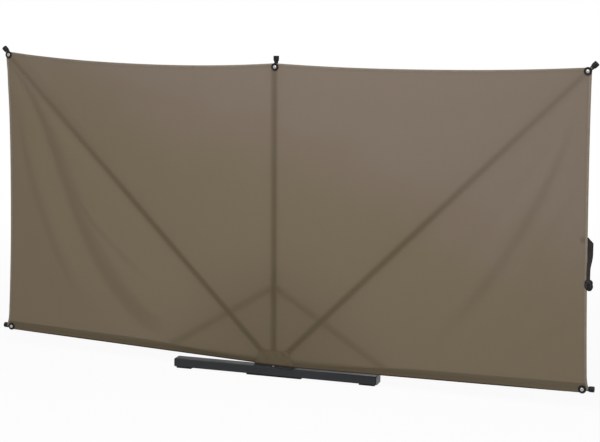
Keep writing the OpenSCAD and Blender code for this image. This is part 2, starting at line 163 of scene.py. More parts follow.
def smooth(value, low, high):
    """Smooth step of value from low to high."""
    t = np.clip((value - low) / (high - low), 0, 1)
    return t * t * (3 - 2 * t)


def grid_faces(across, along, ring=False):
    """Four-sided faces between the neighbours of a grid whose point (i, j) is number i * along + j. A ring joins
    the last row i to the first."""
    i = np.arange(across if ring else across - 1)[:, None]
    j = np.arange(along - 1)[None, :]
    n = (i + 1) % across
    return np.stack([i * along + j, n * along + j, n * along + j + 1, i * along + j + 1], -1).reshape(-1, 4)


def mirrored(points, faces, side):
    """Points and faces for a side: the left is the right half's mirror image, with its faces turned round again."""
    if side > 0:
        return points, faces
    return points * np.array([-1, 1, 1]), faces[:, ::-1]


def surface(x, y, z, side=1.0, over=False):
    """Points and faces of a grid given by its X, Y and Z, mirrored for the left; over turns its faces over."""
    grid = np.stack(np.broadcast_arrays(x, y, z), -1)
    faces = grid_faces(*grid.shape[:2])
    return mirrored(grid.reshape(-1, 3), faces[:, ::-1] if over else faces, side)


def piece(name, points, faces, material, uv=None):
    """A smooth mesh object at the origin, from points (N, 3) and faces (M, 3 or 4); uv holds two numbers for each
    point, or is "front" for the point's own X and Z."""
    points = np.asarray(points, np.float32).reshape(-1, 3)
    faces = np.asarray(faces, np.int32)
    mesh = bpy.data.meshes.new(name)
    mesh.vertices.add(len(points))
    mesh.vertices.foreach_set("co", points.ravel())
    mesh.loops.add(faces.size)
    mesh.loops.foreach_set("vertex_index", faces.ravel())
    mesh.polygons.add(len(faces))
    mesh.polygons.foreach_set("loop_start", np.arange(len(faces), dtype=np.int32) * faces.shape[1])
    mesh.update(calc_edges=True)
    mesh.polygons.foreach_set("use_smooth", np.full(len(faces), True))
    if uv is not None:
        spread = points[:, [0, 2]] if isinstance(uv, str) else np.asarray(uv, np.float32)
        mesh.uv_layers.new(name="UVMap").data.foreach_set("uv", spread[faces.ravel()].ravel())
    mesh.materials.append(material)
    made = bpy.data.objects.new(name, mesh)
    bpy.context.scene.collection.objects.link(made)
    return made


def joined(shells):
    """One set of points and faces from several (points, faces)."""
    counts = np.cumsum([0] + [len(p) for p, f in shells])
    return np.concatenate([p for p, f in shells]), np.concatenate([f + c for (p, f), c in zip(shells, counts)])


def turned(profile, start, axis, sides=48):
    """A profile of (radius, distance along axis) carried round axis from start: point = start + axis * distance +
    radius * (a cos t + b sin t). The profile starts and ends on the axis or closes on itself."""
    axis = unit(np.asarray(axis, float))
    a = unit(np.cross(axis, [0.0, 0.0, 1.0] if abs(axis[2]) < 0.9 else [1.0, 0.0, 0.0]))
    b = np.cross(axis, a)
    t = circle(sides)[:, None, None]
    r, d = np.asarray(profile, float).T[:, None, :, None]
    points = np.asarray(start, float) + axis * d + r * (a * np.cos(t) + b * np.sin(t))
    return points.reshape(-1, 3), grid_faces(sides, len(profile), ring=True)


def rounded(profile, steps=3):
    """The same outline with each inner corner cut to a curve, by Chaikin's rule: every corner is replaced by the
    points a quarter and three quarters of the way along its sides."""
    p = np.asarray(profile, float)
    for _ in range(steps):
        q = np.stack([p[:-1] * 0.75 + p[1:] * 0.25, p[:-1] * 0.25 + p[1:] * 0.75], 1).reshape(-1, p.shape[1])
        p = np.concatenate([p[:1], q, p[-1:]])
    return p


def merge(obj):
    """Merges an object's doubled points and turns its faces outwards."""
    shell = bmesh.new()
    shell.from_mesh(obj.data)
    bmesh.ops.remove_doubles(shell, verts=shell.verts, dist=1e-6)
    bmesh.ops.recalc_face_normals(shell, faces=shell.faces)
    shell.to_mesh(obj.data)
    shell.free()
    return obj


def fixed(obj, body, slot, *replaced):
    """obj goes with one body, and stands for the CAD nodes that are named."""
    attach(obj, body)
    if replaced:
        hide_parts(*replaced)
    return obj


def rest_points(obj):
    """An object's points at rest, (N, 3)."""
    co = np.empty(len(obj.data.vertices) * 3, np.float32)
    obj.data.vertices.foreach_get("co", co)
    return co.reshape(-1, 3).astype(float)


def follow(obj, share):
    """Bakes obj's placement into its points; obj does not bend. share, which would give each point its own share of
    the joint's turn from X and Z or hold it for every point, is not used."""
    if callable(share):
        share = share(*rest_points(obj)[:, [0, 2]].T)
    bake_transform(obj)
    return obj


# ---- Shader helpers: values are sockets or numbers, and a colour is three numbers ----


def node(tree, kind, inputs=None, **settings):
    """A new node with its own properties set. Each input, by number or name, is linked if it is given a socket."""
    n = tree.nodes.new(kind)
    for key, value in settings.items():
        setattr(n, key, value)
    fill(n, inputs or {})
    return n


def fill(n, inputs):
    """Links or sets a node's inputs."""
    for key, value in inputs.items():
        if isinstance(value, bpy.types.NodeSocket):
            n.id_data.links.new(value, n.inputs[key])
        else:
            n.inputs[key].default_value = value


def tree_of(*values):
    """The tree of the first socket among some values."""
    return next(v for v in values if isinstance(v, bpy.types.NodeSocket)).id_data


def spaced(values):
    """Keyword arguments with spaces for the underscores in their names."""
    return {key.replace("_", " "): value for key, value in values.items()}


def of_type(tree, kind):
    return next(n for n in tree.nodes if n.type == kind)


def calc(operation, *values):
    """A Math node."""
    return node(tree_of(*values), "ShaderNodeMath", dict(enumerate(values)), operation=operation).outputs[0]


def times(first, *others):
    """The product of several values."""
    for value in others:
        first = calc("MULTIPLY", first, value)
    return first


def ramp(value, low, high, to_low=0.0, to_high=1.0):
    """Smooth step of value from low to high, given out between to_low and to_high."""
    inputs = dict(enumerate((value, low, high, to_low, to_high)))
    return node(value.id_data, "ShaderNodeMapRange", inputs, interpolation_type="SMOOTHSTEP").outputs[0]


def mix(amount, a, b, kind="MIX"):
    """A colour mix."""
    a, b = ((*v, 1.0) if isinstance(v, tuple) else v for v in (a, b))
    inputs = {0: amount, 6: a, 7: b}
    return node(tree_of(amount, a, b), "ShaderNodeMix", inputs, data_type="RGBA", blend_type=kind).outputs[2]


def noise(vector, scale, detail=3.0, roughness=0.5):
    """Noise at one scale, or at its own scale along each axis."""
    if isinstance(scale, tuple):
        vector, scale = node(vector.id_data, "ShaderNodeMapping", {0: vector, 3: scale}).outputs[0], 1.0
    inputs = {0: vector, 2: scale, 3: detail, 4: roughness}
    return node(vector.id_data, "ShaderNodeTexNoise", inputs).outputs[0]


def split(vector):
    """X, Y and Z of a vector."""
    return node(vector.id_data, "ShaderNodeSeparateXYZ", {0: vector}).outputs


def normal_of(tree):
    return node(tree, "ShaderNodeNewGeometry").outputs["Normal"]


def varied(value, spread, centre):
    """A number that follows value, 0 to 1, round centre by spread each way."""
    return calc("MULTIPLY_ADD", value, 2 * spread, centre - spread)


def line_gap(x, z, pivot, angle):
    """Distance to the line through pivot at angle: |(x - px) sin a - (z - pz) cos a|."""
    a = times(calc("SUBTRACT", x, float(pivot[0])), math.sin(angle))
    b = times(calc("SUBTRACT", z, float(pivot[1])), math.cos(angle))
    return calc("ABSOLUTE", calc("SUBTRACT", a, b))


def start_group(name, **defaults):
    """A shader node group that takes a Vector and some numbers; gives its tree and its inputs' sockets."""
    tree = bpy.data.node_groups.new(name, "ShaderNodeTree")
    tree.interface.new_socket("Vector", in_out="INPUT", socket_type="NodeSocketVector")
    for label, default in spaced(defaults).items():
        tree.interface.new_socket(label, in_out="INPUT", socket_type="NodeSocketFloat").default_value = default
    return tree, *tree.nodes.new("NodeGroupInput").outputs[: len(defaults) + 1]


def end_group(tree, **outputs):
    """Gives a node group its outputs, which are all numbers."""
    for label in outputs:
        tree.interface.new_socket(label, in_out="OUTPUT", socket_type="NodeSocketFloat")
    node(tree, "NodeGroupOutput", outputs)
    return tree


def use(group, vector, **values):
    """Places a node group, with its Vector linked and its other inputs set by name; gives its outputs."""
    inputs = {"Vector": vector, **spaced(values)}
    return node(vector.id_data, "ShaderNodeGroup", inputs, node_tree=group).outputs


# ---- Shader groups ----


def weave_group():
    """Plain weave: threads run both ways, and each crossing shows the one or the other. Height is the square of
    the sine across the thread that is on top; Slub gives thick and thin places along both threads."""
    tree, vector, threads, slub = start_group("plain weave", Threads_per_metre=1400.0, Slub=0.5)
    across = [times(v, threads) for v in split(vector)[:2]]
    hump = [calc("POWER", calc("ABSOLUTE", calc("SINE", times(a, math.pi))), 2.0) for a in across]
    cells = calc("ADD", *(calc("FLOOR", a) for a in across))
    on_top = calc("ABSOLUTE", calc("MODULO", cells, 2.0))
    height = node(tree, "ShaderNodeMix", {0: on_top, 2: hump[0], 3: hump[1]}, data_type="FLOAT").outputs[0]
    warp, weft = (noise(vector, s, 2.0) for s in ((260.0, 7.0, 1.0), (7.0, 260.0, 1.0)))
    slubs = calc("SUBTRACT", calc("ADD", warp, weft), 1.0)
    return end_group(tree, Height=height, Slubs=calc("MULTIPLY_ADD", slubs, slub, 0.5))


def pole_shadow_group():
    """Mask of painted shadows of the poles behind the cloth: near the upright X = 0 and near the diagonal's and
    the bottom pole's lines. They fade towards the corners, and fainter painted shadows follow the struts."""
    tree, vector, width = start_group("painted pole shadows", Width=0.013)
    across, z, _ = split(vector)
    x = calc("ABSOLUTE", across)
    near = calc("ABSOLUTE", calc("ADD", across, SHADOW_LINE_OFFSET))
    for pivot, angle in POLE_LINES:
        near = calc("MINIMUM", near, line_gap(x, z, pivot, angle))
    poles = times(ramp(calc("DIVIDE", near, width), 1.0, 0.25), ramp(x, 0.55, 1.40, 1.0, 0.15))
    near = calc("DIVIDE", line_gap(x, z, STRUT_TOP, STRUT_ANGLE), width)
    struts = times(ramp(near, 1.2, 0.2, 0.0, 0.45), ramp(x, STRUT_HIGH[0], STRUT_HIGH[0] - 0.03))
    return end_group(tree, Mask=calc("MAXIMUM", poles, struts))


def wear_group():
    """Mask of worn edges: where a rounded normal leaves the true one, broken up by noise."""
    tree, vector, radius, amount = start_group("edge wear", Radius=0.0015, Amount=0.5)
    bevel = node(tree, "ShaderNodeBevel", {0: radius}, samples=4).outputs[0]
    dot = node(tree, "ShaderNodeVectorMath", {0: bevel, 1: normal_of(tree)}, operation="DOT_PRODUCT")
    edge = ramp(dot.outputs["Value"], 0.985, 0.86)
    patches = ramp(noise(vector, 55.0, 5.0, 0.6), 0.42, 0.62)
    return end_group(tree, Mask=times(edge, patches, amount))


def dust_group():
    """Mask of dust: it lies on what faces up, in soft clouds with a fine grain."""
    tree, vector, amount = start_group("dust", Amount=0.3)
    up = ramp(split(normal_of(tree))[2], 0.2, 0.95, 0.12, 1.0)
    clouds = ramp(noise(vector, 14.0, 4.0), 0.35, 0.7, 0.25, 1.0)
    grain = ramp(noise(vector, 900.0, 2.0), 0.3, 0.7, 0.6, 1.0)
    return end_group(tree, Mask=times(up, clouds, grain, amount))


def grain_group():
    """Fine lumps of a cast or sprayed surface: Height is noise at the given scale over a broader, weaker one, and
    Clouds is the broad one alone."""
    tree, vector, scale = start_group("grain", Scale=900.0)
    broad = noise(vector, 9.0)
    return end_group(tree, Height=calc("MULTIPLY_ADD", broad, 0.2, noise(vector, scale)), Clouds=broad)


WEAVE = weave_group()
POLE_SHADOWS = pole_shadow_group()
WEAR = wear_group()
DUST = dust_group()
GRAIN = grain_group()


# ---- Materials ----


def new_material(name, uv=False):
    """A new material, its Principled shader and the vector that its patterns read: the object's own or its UV."""
    material = bpy.data.materials.new(name)
    material.use_nodes = True
    tree = material.node_tree
    where = node(tree, "ShaderNodeUVMap", uv_map="UVMap") if uv else node(tree, "ShaderNodeTexCoord")
    return material, of_type(tree, "BSDF_PRINCIPLED"), where.outputs[0 if uv else "Object"]


def dress(shader, base, rough, height, strength, distance, **others):
    """Gives a Principled shader its colour, roughness, bump and other inputs by name; gives the bump's normal."""
    inputs = {0: strength, 1: distance, "Height": height}
    normal = node(shader.id_data, "ShaderNodeBump", inputs).outputs[0]
    fill(shader, {"Base Color": base, "Roughness": rough, "Normal": normal, **spaced(others)})
    return normal


def grained(name, dark, light, rough, scale=2200.0, worn=(0.0008, 0.35), worn_to=(0.06, 0.06, 0.06),
            dusty=0.08, dust=(0.20, 0.19, 0.17), spread=0.08, bump=(0.3, 0.0002), shine=0.18):
    """A moulded or sprayed surface in two close tones: fine grain, edges rubbed paler by worn (radius, amount), and
    faint dust."""
    material, shader, where = new_material(name)
    grain, clouds = use(GRAIN, where, Scale=scale)
    base = mix(clouds, dark, light)
    base = mix(use(WEAR, where, Radius=worn[0], Amount=worn[1])[0], base, worn_to)
    base = mix(use(DUST, where, Amount=dusty)[0], base, dust)
    dress(shader, base, varied(clouds, spread, rough), grain, *bump, Specular_IOR_Level=shine)
    return material


def anodised_pole(name, angle):
    """Satin anodised tube: draw lines run along the pole, which stands at angle in the X-Z plane."""
    material, shader, where = new_material(name)
    along = node(shader.id_data, "ShaderNodeMapping", {0: where, 2: (0.0, angle, 0.0)}).outputs[0]
    lines = noise(along, (5.0, 2600.0, 2600.0))
    base = mix(lines, (0.105, 0.106, 0.110), (0.160, 0.161, 0.166))
    base = mix(ramp(noise(where, 7.0), 0.45, 0.75, 0.0, 0.25), base, (0.09, 0.09, 0.092))
    base = mix(use(WEAR, where, Radius=0.0006, Amount=0.5)[0], base, (0.42, 0.42, 0.43))
    dress(shader, base, varied(lines, 0.08, 0.42), lines, 0.10, 0.0001, Metallic=0.75)
    return material


def zinc_steel():
    """Bright zinc plate: fine turned scratches and small dull spots."""
    material, shader, where = new_material("bright zinc plate")
    fine = noise(where, (900.0, 60.0, 900.0))
    base = mix(fine, (0.33, 0.315, 0.30), (0.47, 0.45, 0.43))
    base = mix(ramp(noise(where, 260.0, 4.0), 0.55, 0.75, 0.0, 0.5), base, (0.21, 0.20, 0.19))
    dress(shader, base, varied(fine, 0.10, 0.34), fine, 0.15, 0.0001, Metallic=0.85)
    return material


# From CLOTH_FOOT, warmer and darker, to CLOTH_TOP, greyer and lighter: in part painted light, lighter where more
# light falls
CLOTH_FOOT = (0.178, 0.142, 0.092)
CLOTH_TOP = (0.200, 0.158, 0.124)


def screen_cloth():
    """Taupe coated polyester: plain weave, slubs, a colour that drifts from warmer and darker at the foot to greyer
    and lighter at the top right, in part painted light, painted shadows of the poles and struts behind it, painted
    shade round the hub, and light from behind showing through."""
    material, shader, where = new_material("taupe screen cloth", uv=True)
    tree = material.node_tree
    weave, slubs = use(WEAVE, where, Threads_per_metre=1300.0, Slub=0.55)
    x, z, _ = split(where)
    # Partly painted light: the colour turns lighter and greyer towards the top and the right, where the lamps light
    # the cloth more
    drift = calc("ADD", calc("MULTIPLY_ADD", x, 0.30, z), varied(noise(where, 2.2), 0.25, 0.0))
    base = mix(ramp(drift, 0.75, 1.35), CLOTH_FOOT, CLOTH_TOP)
    base = mix(varied(slubs, 0.10, 0.10), base, (0.10, 0.08, 0.055))
    # Painted shadows: the cloth is darkened and browned along the poles and struts that stand behind it
    base = mix(times(use(POLE_SHADOWS, where, Width=0.024)[0], 0.30), base, (0.074, 0.048, 0.012))
    # Painted shade: the cloth darkens towards the hub, where the hub, the bar and the poles keep the light from
    # behind off it
    away = node(tree, "ShaderNodeVectorMath", {0: where, 1: (0.0, 0.10, 0.0)}, operation="DISTANCE")
    base = mix(ramp(away.outputs["Value"], 0.10, 0.62, 0.22, 0.0), base, (0.060, 0.046, 0.028))
    normal = dress(shader, base, varied(weave, 0.06, 0.80), weave, 0.12, 0.0002,
                   Sheen_Weight=0.05, Sheen_Roughness=0.5, Specular_IOR_Level=0.25)
    glow = mix(1.0, base, (1.0, 0.97, 1.0), "MULTIPLY")
    through = node(tree, "ShaderNodeBsdfTranslucent", {0: glow, "Normal": normal}).outputs[0]
    both = node(tree, "ShaderNodeMixShader", {0: 0.30, 1: shader.outputs[0], 2: through}).outputs[0]
    fill(of_type(tree, "OUTPUT_MATERIAL"), {0: both})
    return material


def sewn_cloth(name, dark, light, threads=900.0):
    """A heavier opaque cloth or webbing in two close tones, with its weave standing out more."""
    material, shader, where = new_material(name, uv=True)
    weave = use(WEAVE, where, Threads_per_metre=threads, Slub=0.7)[0]
    clouds = noise(where, 30.0, 4.0)
    base = mix(weave, dark, light)
    base = mix(ramp(clouds, 0.4, 0.75, 0.0, 0.35), base, tuple(0.7 * v for v in dark))
    dress(shader, base, varied(clouds, 0.06, 0.85), weave, 0.5, 0.0005, Sheen_Weight=0.15, Specular_IOR_Level=0.25)
    return material


def thread_material():
    """Sewing thread a shade darker than the cloth, twisted: fine slanting lines."""
    material, shader, where = new_material("sewing thread")
    twist = noise(where, (2500.0, 2500.0, 900.0), 2.0)
    dress(shader, mix(twist, (0.085, 0.068, 0.046), (0.135, 0.108, 0.074)), 0.7, twist, 0.3, 0.0002)
    return material


CLOTH = screen_cloth()
COAT = grained("anthracite powder coat", (0.014, 0.016, 0.018), (0.021, 0.023, 0.026), 0.50, scale=1300.0,
               worn=(0.0012, 0.55), worn_to=(0.16, 0.165, 0.17), dusty=0.13, dust=(0.24, 0.23, 0.21),
               spread=0.07, bump=(0.25, 0.0004), shine=0.24)
PLASTIC = grained("black moulded plastic", (0.004, 0.004, 0.0045), (0.008, 0.008, 0.009), 0.48)
# The end caps' grey is much lighter than the black plastic: in part it paints the light that falls on the bar's ends
END_CAP = grained("grey end cap plastic with painted light", (0.165, 0.168, 0.170), (0.215, 0.218, 0.222), 0.50)
RUBBER = grained("matt pad rubber", (0.008, 0.008, 0.008), (0.014, 0.014, 0.013), 0.72)
LEVER = grained("dark grey lever plastic", (0.032, 0.033, 0.030), (0.050, 0.051, 0.046), 0.42)
STEEL = zinc_steel()
TAPE = sewn_cloth("edge tape", (0.205, 0.168, 0.128), (0.270, 0.224, 0.175), 1200.0)
PATCH = sewn_cloth("hub patch cloth", (0.101, 0.075, 0.041), (0.138, 0.104, 0.057))
# A dark tape that stands for shade: it paints the shade lines under the cloth's foot and under the hub patch's foot
SHADE_LINE_TAPE = sewn_cloth("dark tape painting shade lines", (0.030, 0.018, 0.014), (0.050, 0.031, 0.024), 1100.0)
WEBBING = sewn_cloth("black webbing", (0.013, 0.010, 0.010), (0.040, 0.031, 0.029), 650.0)
THREAD = thread_material()
POLE = {
    name: anodised_pole("satin " + name.replace("_", " "), angle)
    for name, angle in {
        "pole_centre": math.pi / 2,
        "pole_diagonal_right": DIAGONAL_ANGLE, "pole_diagonal_left": math.pi - DIAGONAL_ANGLE,
        "pole_bottom_right": WING_ANGLE, "pole_bottom_left": math.pi - WING_ANGLE,
        "strut_right": STRUT_ANGLE, "strut_left": -STRUT_ANGLE,
    }.items()
}


FINISHES = {  # by the start of a node's name
    "base_bar": COAT, "hub_foot_plate": COAT, "hub_front_plate": COAT, "hub_back_plate": COAT, "foot_pads": RUBBER,
    "base_end_caps": END_CAP, "hub_fasteners": STEEL, "centre_stud": STEEL, "diagonal_stud": STEEL,
    "bottom_stud": STEEL, "centre_pole": POLE["pole_centre"],
    **{name: POLE[name] for name in ("strut_left", "strut_right")},
    **{f"diagonal_{part}_{word}": POLE[f"pole_diagonal_{word}"] for part in ("lower", "upper") for word in SIDES},
    **{f"bottom_pole_{part}_{word}": POLE[f"pole_bottom_{word}"] for part in ("lower", "upper") for word in SIDES},
}


for name, obj in NODES.items():
    obj.data.materials.clear()
    obj.data.materials.append(next((f for start, f in FINISHES.items() if name.startswith(start)), PLASTIC))


# ---- The cloth's shape ----


def arch(u, power):
    """1 in the middle of 0 to 1 and 0 at its ends: 1 - |2u - 1| to the power."""
    return 1 - np.abs(2 * np.clip(u, 0, 1) - 1) ** power


def top_edge(x, side):
    """Height of the cloth's top edge at x: a straight line from the middle to the corner, less the edge's sag."""
    u = np.minimum(x / CORNER[0], 1)
    return TOP_MIDDLE + (CORNER[1] - TOP_MIDDLE) * u - TOP_SAG[side] * arch(u, 2.2)


def side_edge(z, side):
    """X of the cloth's side edge at height z: a straight line between the corners, less the edge's bow, drawn out to
    the bottom pole's end by FLARE at its foot, and cut back by FOOT_CUT under the ring."""
    z = np.minimum(z, CORNER[1])
    u = (z - LOW_CORNER[1]) / (CORNER[1] - LOW_CORNER[1])
    drawn = FLARE * np.exp(-(np.maximum(z - LOW_CORNER[1], 0) / FLARE_HEIGHT) ** 2)
    drawn = drawn - FOOT_CUT * (1 - smooth(z, LOW_CORNER[1], LOW_RING[1] + 0.006))
    return LOW_CORNER[0] + (CORNER[0] - LOW_CORNER[0]) * u - SIDE_BOW[side] * arch(u, 2.6) + drawn


def hub_corner(side):
    """(X, Z) where the cloth's foot meets the hub."""
    return np.array([HUB_EDGE_X, CLOTH_LOW[2] + HUB_RISE[side]])


def off_line(x, z, pivot, angle):
    """Distance of points from the line through pivot at angle, positive above it."""
    return (z - pivot[1]) * math.cos(angle) - (x - pivot[0]) * math.sin(angle)


def bezier(points, count=90):
    """Points on the cubic curve with these four control points."""
    t = np.linspace(0, 1, count)[:, None]
    a, b, c, d = (np.asarray(p, float) for p in points)
    return a * (1 - t) ** 3 + 3 * b * t * (1 - t) ** 2 + 3 * c * t * t * (1 - t) + d * t ** 3


def soft(q):
    """A fold's profile at q half-widths from its line: q * exp((1 - q^2) / 2)."""
    return q * np.exp(0.5 - 0.5 * q ** 2)


def flat(q, above=3.4, below=1.5):
    """A broad flat fold's profile: an even slope q / (1 + |q|^6)^(1/6), which past -1 and 1 dies away over below and
    above."""
    past = np.where(q > 0, (q - 1) / above, (-q - 1) / below)
    return q / (1 + np.abs(q) ** 6) ** (1 / 6) * np.exp(-np.maximum(past, 0) ** 2)


def fold(x, z, points, width, height, fade, profile):
    """A fold along a curve: h = height * profile(d / width), where d is the distance from the curve, positive above
    it. It hollows below the curve and swells above it, and dies away over the shares fade of its length at both
    ends. The width grows along it from half to its full value."""
    curve = bezier(points)
    share = np.linspace(0, 1, len(curve))
    ahead = np.gradient(curve, share, axis=0)
    speed = np.linalg.norm(ahead, axis=1)
    ahead /= speed[:, None]
    spots = np.stack([x.ravel(), z.ravel()], 1)
    gap = spots[:, None, :] - curve[None, :, :]
    best = np.argmin((gap ** 2).sum(2), 1)
    gap, ahead = gap[np.arange(len(spots)), best], ahead[best]
    d = ahead[:, 0] * gap[:, 1] - ahead[:, 1] * gap[:, 0]
    d = np.where(ahead[:, 0] < 0, -d, d)
    t = np.clip(share[best] + (ahead * gap).sum(1) / speed[best], 0, 1)
    w = width * (0.45 + 0.55 * smooth(t, 0.0, 0.6))
    live = smooth(t, 0, fade[0]) * smooth(1 - t, 0, fade[1])
    return (height * live * (w / width) * profile(d / w)).reshape(x.shape)


# The folds: four control points (X, Z), width, height, how far each end fades, and the profile
FOLDS = (
    (((-1.42, 1.46), (-1.10, 1.12), (-1.02, 0.26), (-0.50, 0.13)), 0.056, 0.0155, (0.05, 0.16), flat),
    (((-1.41, 1.36), (-1.33, 0.95), (-1.33, 0.36), (-0.90, 0.12)), 0.085, 0.0060, (0.12, 0.22), flat),
    (((-1.40, 1.42), (-1.09, 1.02), (-1.09, 0.42), (-0.60, 0.17)), 0.038, 0.0032, (0.05, 0.16), soft),
    (((-1.38, 1.26), (-1.36, 0.90), (-1.22, 0.60), (-1.04, 0.25)), 0.034, 0.0036, (0.20, 0.25), soft),
    (((-1.08, 0.84), (-0.98, 0.66), (-0.82, 0.54), (-0.57, 0.33)), 0.020, 0.0026, (0.3, 0.3), soft),
    (((-1.34, 1.42), (-1.12, 1.16), (-0.90, 0.86), (-0.60, 0.62)), 0.036, 0.0020, (0.3, 0.3), soft),
    (((1.40, 1.38), (1.31, 0.93), (1.06, 0.53), (0.70, 0.14)), 0.038, 0.0062, (0.22, 0.34), soft),
    (((1.36, 1.24), (1.22, 0.98), (1.04, 0.74), (0.84, 0.50)), 0.034, -0.0030, (0.25, 0.3), soft),
    (((1.42, 1.02), (1.36, 0.86), (1.25, 0.74), (1.14, 0.56)), 0.030, 0.0020, (0.3, 0.3), soft),
    (((1.44, 0.42), (1.30, 0.34), (1.20, 0.24), (1.05, 0.14)), 0.034, 0.0020, (0.3, 0.3), soft),
    (((0.06, 1.38), (0.40, 1.25), (0.90, 1.22), (1.33, 1.42)), 0.050, 0.0012, (0.3, 0.3), soft),
    (((-1.30, 1.42), (-0.90, 1.28), (-0.45, 1.26), (-0.06, 1.40)), 0.050, 0.0012, (0.3, 0.3), soft),
)
NEAR_POLE = (0.012, 0.075)  # the cloth comes free of a pole between these distances from its axis
BELLY = 0.0055  # how far each slack sector swells forward in its middle
DEEPEST = -0.0140  # how far back a fold may reach
HUB_CENTRE_Z = 0.08


def cloth_y(x, z):
    """Y of the cloth at rest, at X and Z of either half: the cloth's plane, less what swells forward. Away from the
    poles it takes the folds and a slack belly, and it draws in to the hub and the rings."""
    side_x = np.abs(x)
    clear = smooth(side_x, *NEAR_POLE)
    for line in POLE_LINES:
        clear = clear * smooth(np.abs(off_line(side_x, z, *line)), *NEAR_POLE)
    out = np.hypot(side_x, z - HUB_CENTRE_Z)
    swell = sum(fold(x, z, *f) for f in FOLDS)
    waves = 0.0006 * np.sin(6.1 * x + 3.7 * z + 0.6) + 0.0004 * np.sin(11.3 * x - 7.9 * z + 2.1)
    above = math.pi / 2 - np.arctan2(z - DIAGONAL_PIVOT[1], side_x - DIAGONAL_PIVOT[0])
    upper = np.sin(np.pi * np.clip(above / UPPER_SPAN, 0, 1))
    below = np.arctan2(z - WING_PIVOT[1], side_x - WING_PIVOT[0]) - WING_ANGLE
    lower = np.sin(np.pi * np.clip(below / LOWER_SPAN, 0, 1))
    belly = BELLY * np.where(off_line(side_x, z, *POLE_LINES[0]) > 0, upper, lower) * smooth(out, 0.1, 0.8)
    pull = 0.0
    for ring in (TOP_RING, LOW_RING, MID_RING):
        r = np.hypot(side_x - ring[0], z - ring[1])
        t = np.arctan2(z - ring[1], side_x - ring[0])
        pull = pull + 0.0010 * np.cos(7 * t + 0.5) * (r / 0.05) * np.exp(-r / 0.045)
    swell = np.maximum(clear * (swell + waves + pull) + belly, DEEPEST)
    return CLOTH_Y - swell * smooth(out, 0.08, 0.25)


def turn_share(x, z, pivot, start, span, first, last, turn):
    """Share of the joint's turn that each point of a sector takes. A ray at angle s below start keeps its place
    through the first part of each pleat, and takes its share twice as fast as it moves through the rest, so that the
    sector folds into flat pleats: share = first + (last - first) * (whole pleats passed + the part of this one) /
    PLEATS."""
    s = np.clip(start - np.arctan2(z - pivot[1], x - pivot[0]), 0, span) / span * PLEATS
    kept = 1 - turn / (2 * span)
    whole = np.minimum(np.floor(s), PLEATS - 1)
    return first + (last - first) * (whole + np.clip((s - whole - kept) / (1 - kept), 0, 1)) / PLEATS


def upper_share(x, z):
    """Turn share in the sector between the middle pole and a diagonal, as a part of the diagonal's turn."""
    return turn_share(np.abs(x), z, DIAGONAL_PIVOT, math.pi / 2, UPPER_SPAN, 0.0, 1.0, DIAGONAL_TURN)


def lower_share(x, z):
    """Turn share in the sector between a diagonal and a bottom pole, as a part of the wing's turn."""
    own_turn = WING_TURN * (1 - SEAM_SHARE)
    return turn_share(np.abs(x), z, WING_PIVOT, DIAGONAL_ANGLE, LOWER_SPAN, SEAM_SHARE, 1.0, own_turn)


def pleat_rays(start, span, turn):
    """Angles and directions of the rays of a sector: each pleat's two folds, a ray close on both sides of every
    fold, and five between."""
    kept = 1 - turn / (2 * span)
    stops = np.array([0.0, 0.02, 0.2, 0.4, 0.6, 0.8, 0.98])
    one = np.concatenate([stops * kept, kept + stops * (1 - kept)])
    share = (np.arange(PLEATS)[:, None] + one[None, :]).ravel() / PLEATS
    rays = start - span * np.append(share, 1.0)
    return rays, heading(rays)


def upper_columns(side):
    """Inner and outer ends of the upper sector's lines, and how slantwise each meets its edge: uprights between the
    middle and the diagonal pivot, then rays from that pivot out to the top edge."""
    uprights = np.array([0.0, 0.004, 0.009, 0.015, 0.022]) * DIAGONAL_PIVOT[0] / 0.03
    rays, way = pleat_rays(math.pi / 2, UPPER_SPAN, DIAGONAL_TURN)
    inner = DIAGONAL_PIVOT + 0.02 * way
    x = np.full(len(rays), DIAGONAL_PIVOT[0])
    for _ in range(40):
        reach = (top_edge(x, side) - DIAGONAL_PIVOT[1]) / np.sin(rays)
        x = DIAGONAL_PIVOT[0] + reach * np.cos(rays)
    outer = np.stack([x, top_edge(x, side)], 1)
    inner = np.concatenate([np.stack([uprights, np.full(5, inner[0, 1])], 1), inner])
    outer = np.concatenate([np.stack([uprights, top_edge(uprights, side)], 1), outer])
    return inner, outer, 1 / unit(outer - inner)[:, 1]


def lower_columns(side):
    """Inner and outer ends of the lower sector's lines, and how slantwise each meets its edge: lines beside the
    seam, then rays from the wing's pivot out to the side edge, then lines from beside the hub to the edge under the
    bottom pole."""
    along = heading(DIAGONAL_ANGLE)
    shares = np.array([0.0, 0.12, 0.3, 0.5, 0.75])[:, None]
    seam_in = DIAGONAL_PIVOT + 0.02 * along + shares * (WING_PIVOT - DIAGONAL_PIVOT)
    way = pleat_rays(DIAGONAL_ANGLE, LOWER_SPAN, WING_TURN * (1 - SEAM_SHARE))[1]
    inner = np.concatenate([seam_in, WING_PIVOT + 0.02 * way])
    way = np.concatenate([np.repeat(along[None, :], 5, 0), way])
    z = inner[:, 1].copy()
    for _ in range(60):
        reach = (side_edge(z, side) - inner[:, 0]) / way[:, 0]
        z = inner[:, 1] + reach * way[:, 1]
    outer = np.stack([side_edge(z, side), z], 1)
    t = np.array([0.2, 0.45, 0.7, 0.9, 1.0])[:, None]
    low_in = inner[-1] * (1 - t) + hub_corner(side) * t
    low_z = outer[-1, 1] * (1 - t[:, 0]) + LOW_CORNER[1] * t[:, 0]
    inner = np.concatenate([inner, low_in])
    outer = np.concatenate([outer, np.stack([side_edge(low_z, side), low_z], 1)])
    return inner, outer, 1 / unit(outer - inner)[:, 0]


